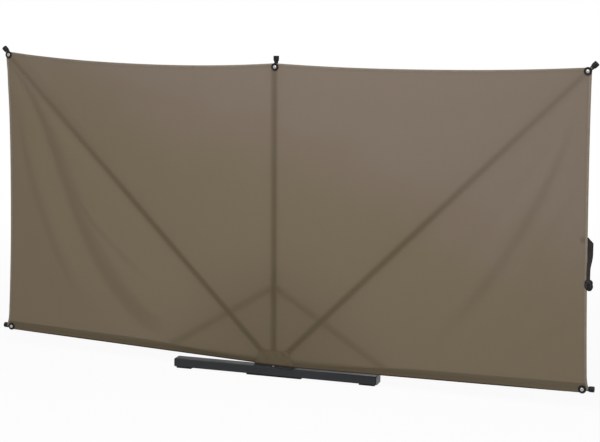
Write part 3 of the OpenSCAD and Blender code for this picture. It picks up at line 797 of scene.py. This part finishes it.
def sector_surface(columns, side, distances, depth):
    """Points and faces along a sector's lines: distances(length, slant) says how far along each line they lie, and
    depth how far behind the cloth."""
    inner, outer, slant = columns(side)
    length = np.linalg.norm(outer - inner, axis=1)[:, None]
    way = (outer - inner) / length
    reach = distances(length, slant[:, None])
    x = inner[:, :1] + way[:, :1] * reach
    z = inner[:, 1:] + way[:, 1:] * reach
    return surface(x, cloth_y(x * side, z) + depth, z, side)


def cloth_sheet(columns, side, rows=104):
    """Points and faces of one sector: along each line from inner to outer end, then round a rolled edge of radius
    ROLL and back behind by HEM. Y is the cloth's own plus the roll's depth."""
    near = np.array([0.034, 0.024, 0.016, 0.010, 0.006, 0.003, 0.0])

    def distances(length, slant):
        main = np.linspace(0, 1, rows) * (length - 0.045 * slant)
        back = length - np.array([0.2, 0.5, 0.8, 1.0]) * HEM * slant
        return np.concatenate([main, length - near * slant, length + ROLL_OUT * slant, back], 1)

    behind = 2 * ROLL + np.array([0.0002, 0.0002, 0.0001, -0.0006])
    depth = np.concatenate([np.zeros(rows + len(near)), ROLL_BACK, behind])
    return sector_surface(columns, side, distances, depth)


def edge_tape(name, columns, side):
    """A thin tape bound round a sector's edge: it runs over the front for TAPE_WIDTH, turns round the edge and ends
    behind it."""
    wide = TAPE_WIDTH
    off = np.array([-wide, 0.0003 - wide, -0.4 * wide, -0.0008, 0.0003, 0.0008, 0.0006, -0.0006])
    depth = np.array([0.0001, -0.0004, -0.0006, -0.0006, -0.0004, 0.0004, 0.0012, 0.0016])
    shape = sector_surface(columns, side, lambda length, slant: length + off * slant, depth)
    return piece(name, *shape, TAPE, uv="front")


# ---- Stitching ----


def even_points(line, step):
    """Points at even steps along a line of points (N, 2), and the direction there."""
    at = np.concatenate([[0], np.cumsum(np.linalg.norm(np.diff(line, axis=0), axis=1))])

    def spot_at(distance):
        return np.stack([np.interp(np.clip(distance, 0, at[-1]), at, line[:, k]) for k in (0, 1)], 1)

    where = np.arange(step / 2, at[-1], step)
    return spot_at(where), unit(spot_at(where + 1e-3) - spot_at(where - 1e-3))


STITCH_POINTS = 30


def stitches(spots, ahead, y, long=0.0034, thick=0.00038):
    """One small spindle a stitch: radius = thick * sqrt(1 - s^2) round its length, s from -1 to 1, half sunk in the
    cloth at y."""
    s = np.array([-1.0, -0.8, 0.0, 0.8, 1.0])
    t = circle(6)[:, None]
    r = thick * np.sqrt(1 - 0.96 * s ** 2)
    u, v, w = long / 2 * s, r * np.cos(t), r * np.sin(t)
    across = left_of(ahead)
    x, z = (spots[:, k, None, None] + ahead[:, k, None, None] * u + across[:, k, None, None] * v for k in (0, 1))
    depth = y[:, None, None] - 0.0001 - w
    faces = grid_faces(6, 5, ring=True)[None, :, :] + (np.arange(len(spots)) * STITCH_POINTS)[:, None, None]
    return np.stack([x, depth, z], -1).reshape(-1, 3), faces.reshape(-1, 4)


def inset_line(line, distance):
    """The line moved by distance to its left."""
    return line + distance * left_of(unit(np.gradient(line, axis=0)))


def fan_pieces(word, side):
    """The two sectors of one half with their stitching, their hems and tapes; the foot hem goes with the wing."""
    diagonal, wing = f"diagonal_{word}", f"wing_{word}"
    upper = piece(f"cloth_upper_{word}", *cloth_sheet(upper_columns, side), CLOTH, uv="front")
    lower = piece(f"cloth_lower_{word}", *cloth_sheet(lower_columns, side), CLOTH, uv="front")
    follow(upper, upper_share)
    follow(lower, lower_share)

    x = np.linspace(0.0, CORNER[0] - 0.004, 200)
    z = np.linspace(CORNER[1] - 0.006, LOW_CORNER[1] + 0.004, 200)
    foot_start = hub_corner(side)
    foot_end = np.array([side_edge(LOW_CORNER[1], side), LOW_CORNER[1]])
    foot = foot_start + (foot_end - foot_start) * np.linspace(0, 1, 90)[:, None]
    tall = FOOT_HEM[0] + (FOOT_HEM[1] - FOOT_HEM[0]) * smooth(foot[:, :1], 0.15, 0.75)
    rows_in = (-0.6 * HEM, -SECOND_ROW)
    for label, line, body, share, insets in (
        ("top", np.stack([x, top_edge(x, side)], 1), diagonal, upper_share, rows_in),
        ("side", np.stack([side_edge(z, side), z], 1), wing, lower_share, rows_in),
        ("foot", foot, wing, lower_share, (0.0035, tall * 0.5, tall - 0.003)),
    ):
        rows = [even_points(inset_line(line, inset), STITCH_STEP) for inset in insets]
        spots, ahead = (np.concatenate([r[k] for r in rows]) for k in (0, 1))
        threads = stitches(spots, ahead, cloth_y(spots[:, 0] * side, spots[:, 1]))
        obj = piece(f"stitching_{label}_{word}", *mirrored(*threads, side), THREAD)
        follow(obj, np.repeat(share(*spots.T), STITCH_POINTS))

    # Foot hem: turned under and sewn, and stiff with the bottom pole
    up = left_of(unit(foot_end - foot_start))
    off = np.concatenate([0 * tall, 0 * tall - ROLL_OUT, tall * [0.05, 0.2, 0.4, 0.6, 0.8, 0.97, 1.0]], 1)
    depth = np.concatenate([[0.0], ROLL_BACK, 2 * ROLL + np.array([0, 0, 0, 0, 0, -0.0002, -0.0006])])
    place = foot[:, None, :] + off[:, :, None] * up
    end = foot_end[0]
    place[..., 0] += (side_edge(place[-1:, :, 1], side) - end) * smooth(foot[:, :1], end - 0.10, end)
    y = cloth_y(side * foot[:, :1], foot[:, 1:]) + depth
    shape = surface(place[..., 0], y, place[..., 1], side, over=True)
    hem = piece(f"hem_bottom_{word}", *shape, CLOTH, uv="front")
    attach(hem, wing)

    # The free edges are bound with a paler tape, and the foot with a dark one that stops short of the ring; the dark
    # one paints the shade line under the foot's edge
    tapes = [
        follow(edge_tape(f"edge_tape_top_{word}", upper_columns, side), upper_share),
        follow(edge_tape(f"edge_tape_side_{word}", lower_columns, side), lower_share),
    ]
    line = foot[: int(len(foot) * 0.95)]
    high = 0.0042 * (1 - smooth(line[:, :1], LOW_CORNER[0] - 0.30, LOW_CORNER[0] - 0.10)) + 0.0006
    off = high * [1, 1, 0.4, 0, 0, 0] + [0, -0.0003, 0, -0.0006, -0.0006, 0.0010]
    depth = np.array([0.0001, -0.0004, -0.0006, -0.0004, 0.0012, 0.0016])
    place = line[:, None, :] + off[:, :, None] * up
    x, z = place[..., 0], place[..., 1]
    shape = surface(x, cloth_y(side * x, z) + depth, z, side)
    bound = piece(f"foot_shade_tape_{word}", *shape, SHADE_LINE_TAPE, uv=place.reshape(-1, 2))
    tapes.append(follow(bound, lower_share))

    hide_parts(f"fabric_upper_{word}")
    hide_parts(f"fabric_lower_{word}")


for word, side in SIDES.items():
    fan_pieces(word, side)


# ---- Hub patch ----

(_, PATCH_FRONT, PATCH_FOOT), (PATCH_SIDE, PATCH_BACK, PATCH_TOP) = PATCH_LOW, PATCH_HIGH


def patch_half_width(z):
    """Half width of the hub patch at height z: from its foot it narrows evenly, and more steeply over its top
    corners."""
    return np.interp(z, [PATCH_FOOT, PATCH_TOP - 0.012, PATCH_TOP], [PATCH_SIDE - 0.0005, 0.079, 0.067])


def patch_edge(u, v):
    """1 over the patch, falling to 0 at its edges: (1 - |u|^40)(1 - |v|^26), over u, v from -1 to 1."""
    return (1 - np.abs(u) ** 40) * (1 - np.abs(v) ** 26)


def patch_y(u, v):
    """Y of the patch: back - thickness * (0.55 of its edge's step + 0.30 (1 - u^2)(1 - v^2))."""
    swell = 0.55 * patch_edge(u, v) + 0.30 * (1 - u ** 2) * (1 - v ** 2)
    return PATCH_BACK - (PATCH_BACK - PATCH_FRONT - 0.0002) * swell


def hub_patch():
    """The patch sewn over the hub, its stitching, and a dark tape bound over its foot, which paints the shade line
    where the patch meets the bar.
    """
    u = np.sin(np.linspace(-1, 1, 61) * math.pi / 2)[:, None]
    v = np.sin(np.linspace(-1, 1, 41) * math.pi / 2)[None, :]
    z = (PATCH_FOOT + PATCH_TOP) / 2 + v * (PATCH_TOP - PATCH_FOOT) / 2
    x = u * patch_half_width(z)
    quilt = 0.00025 * np.sin(70 * x + 3 * np.sin(40 * z)) * np.sin(90 * z + 1)
    cloth = piece("hub_cover", *surface(x, patch_y(u, v) + quilt * patch_edge(u, v), z), PATCH, uv="front")
    solid = cloth.modifiers.new("thickness", "SOLIDIFY")
    solid.thickness, solid.offset = 0.0006, -1.0

    z = np.linspace(PATCH_FOOT + 0.011, PATCH_TOP - 0.004, 40)
    right = np.stack([patch_half_width(z) - 0.004, z], 1)
    spots, ahead = even_points(np.concatenate([right, (right * [-1, 1])[::-1]]), 0.0044)
    u = spots[:, 0] / patch_half_width(spots[:, 1])
    v = (spots[:, 1] - PATCH_FOOT) / (PATCH_TOP - PATCH_FOOT) * 2 - 1
    sewn = piece("stitching_hub_cover", *stitches(spots, ahead, patch_y(u, v)), THREAD)

    # Dark tape over the patch's foot: painted shade along the line where the patch meets the bar
    half = PATCH_SIDE - 0.0004
    t = np.linspace(-math.pi / 2, math.pi / 2, 13)
    round_y = PATCH_BACK - (PATCH_BACK - PATCH_FRONT) * (0.5 + 0.5 * np.sin(t))
    section_y = np.concatenate([[PATCH_BACK], round_y, [PATCH_FRONT - 0.0004, PATCH_FRONT + 0.0002]])
    section_z = PATCH_FOOT + np.concatenate([[0.008], 0.0006 - 0.0006 * np.cos(t), [0.007, 0.008]])
    along = np.linspace(-half, half, 80)[:, None]
    shape = surface(along, section_y + 0.0002 * np.sin(along * 150), section_z, over=True)
    tape = piece("hub_cover_shade_tape", *shape, SHADE_LINE_TAPE, uv="front")
    for obj in (cloth, sewn, tape):
        fixed(obj, "stand", "patch_fabric")
    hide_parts("hub_patch")


hub_patch()


# ---- Rings and tip caps ----


def turned_piece(name, profile, start, way, material, body, slot, *replaced, sides=48):
    """A piece turned about the line through start along way."""
    return fixed(merge(piece(name, *turned(profile, start, way, sides), material)), body, slot, *replaced)


def ring_piece(name, body, studs):
    """The rounded eyelet, a disc with a rolled rim and a shallow groove inside it, and in it the stud's head, a dome
    with a rolled foot and a small round recess. Both are turned about Y."""
    low, high = corners(name)
    x, z = middle(name)
    t, r, hole = high[1] - low[1], EYELET_R, 0.0031
    rim = [(hole, 0), (r * 0.93, 0), (r, t * 0.1), (r, t * 0.8), (r * 0.93, t), (r * 0.80, t), (r * 0.74, t * 0.72),
           (r * 0.64, t * 0.62)]
    profile = np.concatenate([rounded(rim), [[hole, t * 0.62], [hole, 0]]])
    turned_piece("eyelet_ring_" + body, profile, (x, high[1], z), (0, -1, 0), PLASTIC, body, "black_plastic", name,
                 sides=56)
    h = low[1] - corners(studs)[0][1]
    head = [(0.0, h - 0.0014), (0.0017, h - 0.0014), (0.0019, h), (0.0040, h - 0.0001), (0.0068, h * 0.72),
            (0.0082, h * 0.36), (0.0085, h * 0.08), (0.0083, -t * 0.36)]
    profile = np.concatenate([rounded(head), [[0.0, -t * 0.36]]])
    turned_piece("stud_head_" + body, profile, (x, low[1], z), (0, -1, 0), STEEL, body, "zinc_steel", studs)


def tip_cap(name, body, pivot, angle, side):
    """The pole's end cap, turned about the pole: a waisted sleeve that swells to a round-edged head, with a groove
    where they meet, and a thin collar, its neck, that runs on down the pole and narrows to it."""
    way = np.array([math.cos(angle) * side, 0.0, math.sin(angle)])
    start = np.array([pivot[0] * side, 0.0, pivot[1]])
    points = rest_points(NODES[name]) - start
    along = points @ way
    foot, h = along.min(), np.ptp(along)
    r = np.linalg.norm(points - along[:, None] * way, axis=1).max()
    shape = [
        (CAP_BORE, h * 0.30), (CAP_BORE, 0.0), (r * 0.90, 0.0), (r * 0.94, h * 0.02), (r * 0.95, h * 0.13),
        (r * 0.92, h * 0.17), (r * 0.95, h * 0.21), (r * 0.99, h * 0.26), (r, h * 0.40), (r, h * 0.86),
        (r * 0.98, h * 0.95), (r * 0.90, h * 0.99), (r * 0.66, h), (0.0, h),
    ]
    profile = np.concatenate([[[0.0, h * 0.30]], rounded(shape)])
    turned_piece("pole_cap_" + body, profile, start + way * foot, way, PLASTIC, body, "black_plastic", name)
    neck = [(0.0, 0.0), (0.0, -NECK), (0.0006, -NECK), (0.0012, -NECK * 0.6), (0.0014, 0.0)]
    profile = np.concatenate([rounded(neck, 2), [[0.0, 0.0]]]) + [CAP_BORE, 0.0]
    turned_piece("pole_cap_neck_" + body, profile, start + way * foot, way, PLASTIC, body, "black_plastic")


ring_piece("centre_eyelet", "stand", "centre_stud")
tip_cap("centre_tip_cap", "stand", (0.0, 0.0), math.pi / 2, 1.0)
for word, side in SIDES.items():
    ring_piece(f"diagonal_eyelet_{word}", f"diagonal_{word}", f"diagonal_stud_{word}")
    ring_piece(f"bottom_eyelet_{word}", f"wing_{word}", f"bottom_stud_{word}")
    tip_cap(f"diagonal_tip_cap_{word}", f"diagonal_{word}", *POLE_LINES[0], side)
    tip_cap(f"bottom_tip_cap_{word}", f"wing_{word}", *POLE_LINES[1], side)


# ---- End caps of the floor bar ----

CAP_RADIUS = 0.0050  # of the corners of its sections
SEAL = 0.0036  # width of the seal between the bar and the cap's head
SEAL_DEEP, SEAL_EDGE = 0.0060, 0.0014  # how far inside the bar's outline the seal's sides and its edge lie


def bar_cap(word, side):
    """An end cap of the bar, as sections of a round-cornered rectangle along it: a plug inside the tube, a dark seal
    with its edge set back, and a head that rounds off to its end over R: inset = R - sqrt(R^2 - t^2)."""
    points = rest_points(NODES["base_end_caps"])
    centre = np.array([*(points[:, :2].min(0) + points[:, :2].max(0)) / 2, 0.0])
    bar = rest_points(NODES["base_bar"]) - centre
    way = np.linalg.svd(bar[:: max(1, len(bar) // 4000), :2], full_matrices=False)[2][0]
    way = np.array([*(way * np.sign(way[0]) * side), 0.0])
    over = np.array([-way[1], way[0], 0.0])
    along, across = (points - centre) @ way, (points - centre) @ over
    end, seat, plug = along.max(), (bar @ way).max(), along[along > 0].min()
    wide, foot, tall = np.ptp(across), points[:, 2].min(), np.ptp(points[:, 2])
    r = (end - seat) * 0.55
    t = r * np.linspace(0, 1, 12)
    head = seat + SEAL
    corner = heading(circle(64) + np.pi / 64)
    for name, at, inset, material in (
        ("plug", [plug, plug, seat], [0.5 * tall, 0.0034, 0.0034], PLASTIC),
        ("seal", [seat, seat, seat + 0.0006, head - 0.0002, head],
         [SEAL_DEEP, SEAL_EDGE + 0.0004, SEAL_EDGE, SEAL_EDGE, SEAL_DEEP], RUBBER),
        ("head", [head, head, *(end - r + t), end],
         [SEAL_DEEP, 0.0004, *(0.0002 + r - np.sqrt(np.maximum(r ** 2 - t ** 2, 0))), 0.5 * tall], END_CAP),
    ):
        rings = []
        for distance, cut in zip(at, inset):
            half = np.array([max(wide / 2 - cut, 0.001), max(tall / 2 - cut, 0.0002)])
            radius = min(CAP_RADIUS, half.min() * 0.98)
            ring = np.sign(corner) * (half - radius) + corner * radius
            upright = np.array([0, 0, 1.0]) * (foot + tall / 2 + ring[:, 1:])
            rings.append(centre + way * distance + over * ring[:, :1] + upright)
        faces = grid_faces(len(corner), len(at), ring=True)
        obj = merge(piece(f"bar_cap_{name}_{word}", np.stack(rings, 1), faces, material))
        fixed(obj, "stand", "black_plastic")
    return obj


heads = [bar_cap(word, side) for word, side in SIDES.items()]
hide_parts("base_end_caps")


# ---- Strap ----

STRAP_OUT, STRAP_DRIFT = 0.0125, 0.0030  # its middle, out from the cloth's edge, and how far that drifts back in
STRAP_WIDTH, STRAP_NARROWS = 0.0250, 0.0055
STRAP_TWIST = math.radians(-22)
STRAP_FORWARD = 0.0105  # how far it comes forward on its way down
STRAP_CURL = 0.0022  # how far back its long edges curl
CUT_SLOPE = 1.15  # of its top end
CLASP_OUT = 0.0115  # the clasp's middle, out from the cloth's edge
CLASP_HALF_WIDTH = 0.0195


def ribbon(path, normal, width, thick):
    """A flat band along a path: its section is a rectangle with round sides, width across and thick deep, and normal
    is the way its face looks, at each point or everywhere."""
    normal = np.broadcast_to(normal, path.shape)
    ahead = unit(np.gradient(path, axis=0))
    across = unit(np.cross(ahead, normal))
    face = np.cross(across, ahead)
    t = np.linspace(0, math.pi, 7)
    half = np.broadcast_to(width, len(path))[:, None] / 2 - thick / 2
    u = np.concatenate([np.sin(t), -np.sin(t)]) * thick / 2 + np.repeat([1.0, -1.0], 7) * half
    v = np.concatenate([np.cos(t), -np.cos(t)]) * thick / 2
    u = np.concatenate([u, u[:, :1]], 1)
    v = np.concatenate([v, v[:1]])
    points = path[:, None, :] + across[:, None, :] * u[:, :, None] + face[:, None, :] * v[None, :, None]
    length = np.concatenate([[0], np.cumsum(np.linalg.norm(np.diff(path, axis=0), axis=1))])
    uv = np.stack([u, np.broadcast_to(length[:, None], u.shape)], -1)
    return points.reshape(-1, 3), grid_faces(*u.shape), uv.reshape(-1, 2)


def path_of(x, y, z):
    """Points (N, 3) of a path from its X, Y and Z."""
    return np.stack(np.broadcast_arrays(x, y, z), 1)


def strap():
    """The tie strap at the right edge: webbing sewn behind the edge by a tab and run down to a clasp."""
    web_high = corners("strap_webbing")[1]
    low, high = corners("strap_buckle")
    top, foot = web_high[2], high[2]
    edge = side_edge(top - 0.03, 1.0)
    y = web_high[1] - 0.0010
    s = np.linspace(0, 1, 60)
    x = edge + STRAP_OUT - STRAP_DRIFT * smooth(s, 0.40, 0.72)
    path = path_of(x, y - STRAP_FORWARD * smooth(s, 0.30, 0.75), top - 0.004 + (foot - 0.008 - top) * s)
    twist = STRAP_TWIST * smooth(s, 0.35, 0.72)
    width = STRAP_WIDTH - STRAP_NARROWS * smooth(s, 0.40, 0.70)
    points, faces, uv = ribbon(path, path_of(np.sin(twist), -np.cos(twist), 0.0), width, 0.0015)
    # Its long edges curl back a little, and its top is cut slantwise, from the cloth's edge outwards and down
    points[:, 1] += STRAP_CURL * np.abs(uv[:, 0] * 2 / STRAP_WIDTH) ** 3
    points[:, 2] -= np.maximum(points[:, 2] - top + np.clip(points[:, 0] - edge, 0, None) * CUT_SLOPE, 0)
    web = piece("strap_band", points, faces, WEBBING, uv=uv)

    front = (0.0, -1.0, 0.0)
    s = np.linspace(0, 1, 24)
    path = path_of(edge - 0.030 + 0.034 * s, y + 0.0027, top - 0.014 - 0.004 * s)
    tab = piece("strap_tab", *ribbon(path, front, 0.0235, 0.0012)[:2], CLOTH, uv="front")

    # The clasp: a waisted outline that narrows to its foot, shrunk a little towards its front and back
    mid = np.array([edge + CLASP_OUT, (low[1] + high[1]) / 2, (low[2] + high[2]) / 2 + 0.002])
    h, d = (high[2] - low[2]) / 2 + 0.002, (high[1] - low[1]) / 2
    c, s = heading(circle(96)).T
    below = np.clip(-s, 0, 1)
    waist = (1 - 0.10 * np.exp(-((s - 0.15) / 0.22) ** 2)) * (1 - 0.30 * below ** 1.3)
    across = CLASP_HALF_WIDTH * np.sign(c) * np.abs(c) ** 0.74 * waist + 0.003 * below
    up = h * np.sign(s) * np.abs(s) ** 0.80
    rise = np.linspace(-1, 1, 17)
    shrink = 0.78 + 0.22 * (1 - np.abs(rise) ** 3.2) ** 0.5
    rings = mid + np.stack(np.broadcast_arrays(across[:, None] * shrink, -d * rise, up[:, None] * shrink), -1)
    first, last = (np.broadcast_to(rings[:, k].mean(0), (96, 1, 3)) for k in (0, 16))
    rings = np.concatenate([first, rings, last], 1)
    clasp = merge(piece("strap_clasp", rings, grid_faces(96, 19, ring=True), PLASTIC))

    # Two raised side levers and a raised bar where the webbing comes in
    face_y = mid[1] - d * 0.98
    bow = 0.0085 + 0.0022 * np.sin(np.linspace(0, math.pi, 20))
    paths = [path_of(mid[0] + s * bow, face_y, mid[2] + np.linspace(-0.010, 0.012, 20)) for s in (-1, 1)]
    levers = [ribbon(path, front, 0.0040, 0.0018)[:2] for path in paths]
    bar = path_of(mid[0] + np.linspace(-0.0125, 0.0125, 16), face_y, mid[2] + h * 0.66)
    levers.append(ribbon(bar, front, 0.0042, 0.0022)[:2])
    trim = piece("strap_clasp_levers", *joined(levers), LEVER)

    share = lower_share(edge, (top + foot) / 2 + 0.02)
    for obj, slot in ((web, "webbing"), (tab, "screen_fabric"), (clasp, "black_plastic"), (trim, "black_plastic")):
        follow(obj, np.full(len(obj.data.vertices), share))
    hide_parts("strap_webbing")
    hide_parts("strap_buckle")


strap()


# ---- Floor, light and camera ----

FLOOR_HALF, FLOOR_Z = 60.0, -0.0004
FLOOR_WHITE = 0.93  # share of plain white near the object; it grows to 1 between these distances
FLOOR_FADE = (1.5, 6.0)
SURROUND = 0.402  # strength of the even light from all round
LIGHTS = (  # name, place, target, size and power in watts
    ("key light", (1.1, -3.3, 3.0), (0.1, 0.0, 0.8), 1.6, 71.0),
    ("top light", (0.0, -1.5, 3.5), (0.0, 0.0, 0.6), 1.2, 26.0),
    ("back light", (0.2, 4.2, 1.0), (0.0, 0.0, 0.8), 2.4, 30.0),
)
CAMERA_PLACE = (2.694, -6.184, 1.840)
AZIMUTH, DOWN, CAMERA_ROLL = (math.radians(v) for v in (22.592, 8.247, 0.31))
SENSOR, LENS, SHIFT_Y = 36.0, 88.45, -0.045


def seen_directly(tree):
    """1 for camera, glossy and transmission rays, and 0 for the rest."""
    path = node(tree, "ShaderNodeLightPath").outputs
    other = calc("MAXIMUM", path["Is Glossy Ray"], path["Is Transmission Ray"])
    return calc("MAXIMUM", path["Is Camera Ray"], other)


def floor():
    """A pale floor that looks white, more so away from the object, and keeps the object's shadow."""
    material = bpy.data.materials.new("pale studio floor")
    material.use_nodes = True
    tree = material.node_tree
    shader = of_type(tree, "BSDF_PRINCIPLED")
    fill(shader, {"Base Color": (0.86, 0.86, 0.86, 1), "Roughness": 0.9, "Specular IOR Level": 0.1})
    where = node(tree, "ShaderNodeTexCoord").outputs["Object"]
    reach = node(tree, "ShaderNodeVectorMath", {0: where}, operation="LENGTH").outputs["Value"]
    share = times(ramp(reach, *FLOOR_FADE, FLOOR_WHITE, 1.0), seen_directly(tree))
    white = node(tree, "ShaderNodeEmission", {0: (1, 1, 1, 1), 1: 1.0}).outputs[0]
    both = node(tree, "ShaderNodeMixShader", {0: share, 1: shader.outputs[0], 2: white}).outputs[0]
    fill(of_type(tree, "OUTPUT_MATERIAL"), {0: both})
    points = [(x * FLOOR_HALF, y * FLOOR_HALF, FLOOR_Z) for x, y in ((-1, -1), (1, -1), (1, 1), (-1, 1))]
    piece("studio_floor", points, [(0, 1, 2, 3)], material)


def surround():
    """An even pale world: white to the camera, and SURROUND to everything else."""
    world = bpy.data.worlds.new("studio surround")
    bpy.context.scene.world = world
    world.use_nodes = True
    tree = world.node_tree
    level = node(tree, "ShaderNodeMix", {0: seen_directly(tree), 2: SURROUND, 3: 1.0}, data_type="FLOAT")
    fill(of_type(tree, "BACKGROUND"), {"Strength": level.outputs[0], "Color": (1, 1, 1, 1)})


def placed(obj, right, up, back, place):
    """Links an object at place, with its X, Y and Z along right, up and back."""
    bpy.context.scene.collection.objects.link(obj)
    obj.matrix_world = Matrix([[right[k], up[k], back[k], place[k]] for k in range(3)] + [[0, 0, 0, 1]])


def soft_light(name, place, target, size, power):
    """A square soft light at place, turned to target."""
    data = bpy.data.lights.new(name, "AREA")
    data.shape, data.size, data.energy = "SQUARE", size, power
    back = unit(np.subtract(place, target))
    right = unit(np.cross([0, 0, 1], back))
    placed(bpy.data.objects.new(name, data), right, np.cross(back, right), back, place)


def camera():
    """The camera stands in front and to the right, looking a little down."""
    data = bpy.data.cameras.new("camera")
    cam = bpy.data.objects.new("camera", data)
    right = np.array([*heading(AZIMUTH), 0.0])
    ahead = np.array([*left_of(heading(AZIMUTH)) * math.cos(DOWN), -math.sin(DOWN)])
    up = np.cross(right, ahead)
    c, s = heading(CAMERA_ROLL)
    placed(cam, right * c + up * s, up * c - right * s, -ahead, CAMERA_PLACE)
    data.sensor_width, data.lens, data.shift_y, data.clip_end = SENSOR, LENS, SHIFT_Y, 200.0
    bpy.context.scene.camera = cam


floor()
surround()
for light in LIGHTS:
    soft_light(*light)
camera()
bpy.context.scene.view_settings.view_transform = "Standard"
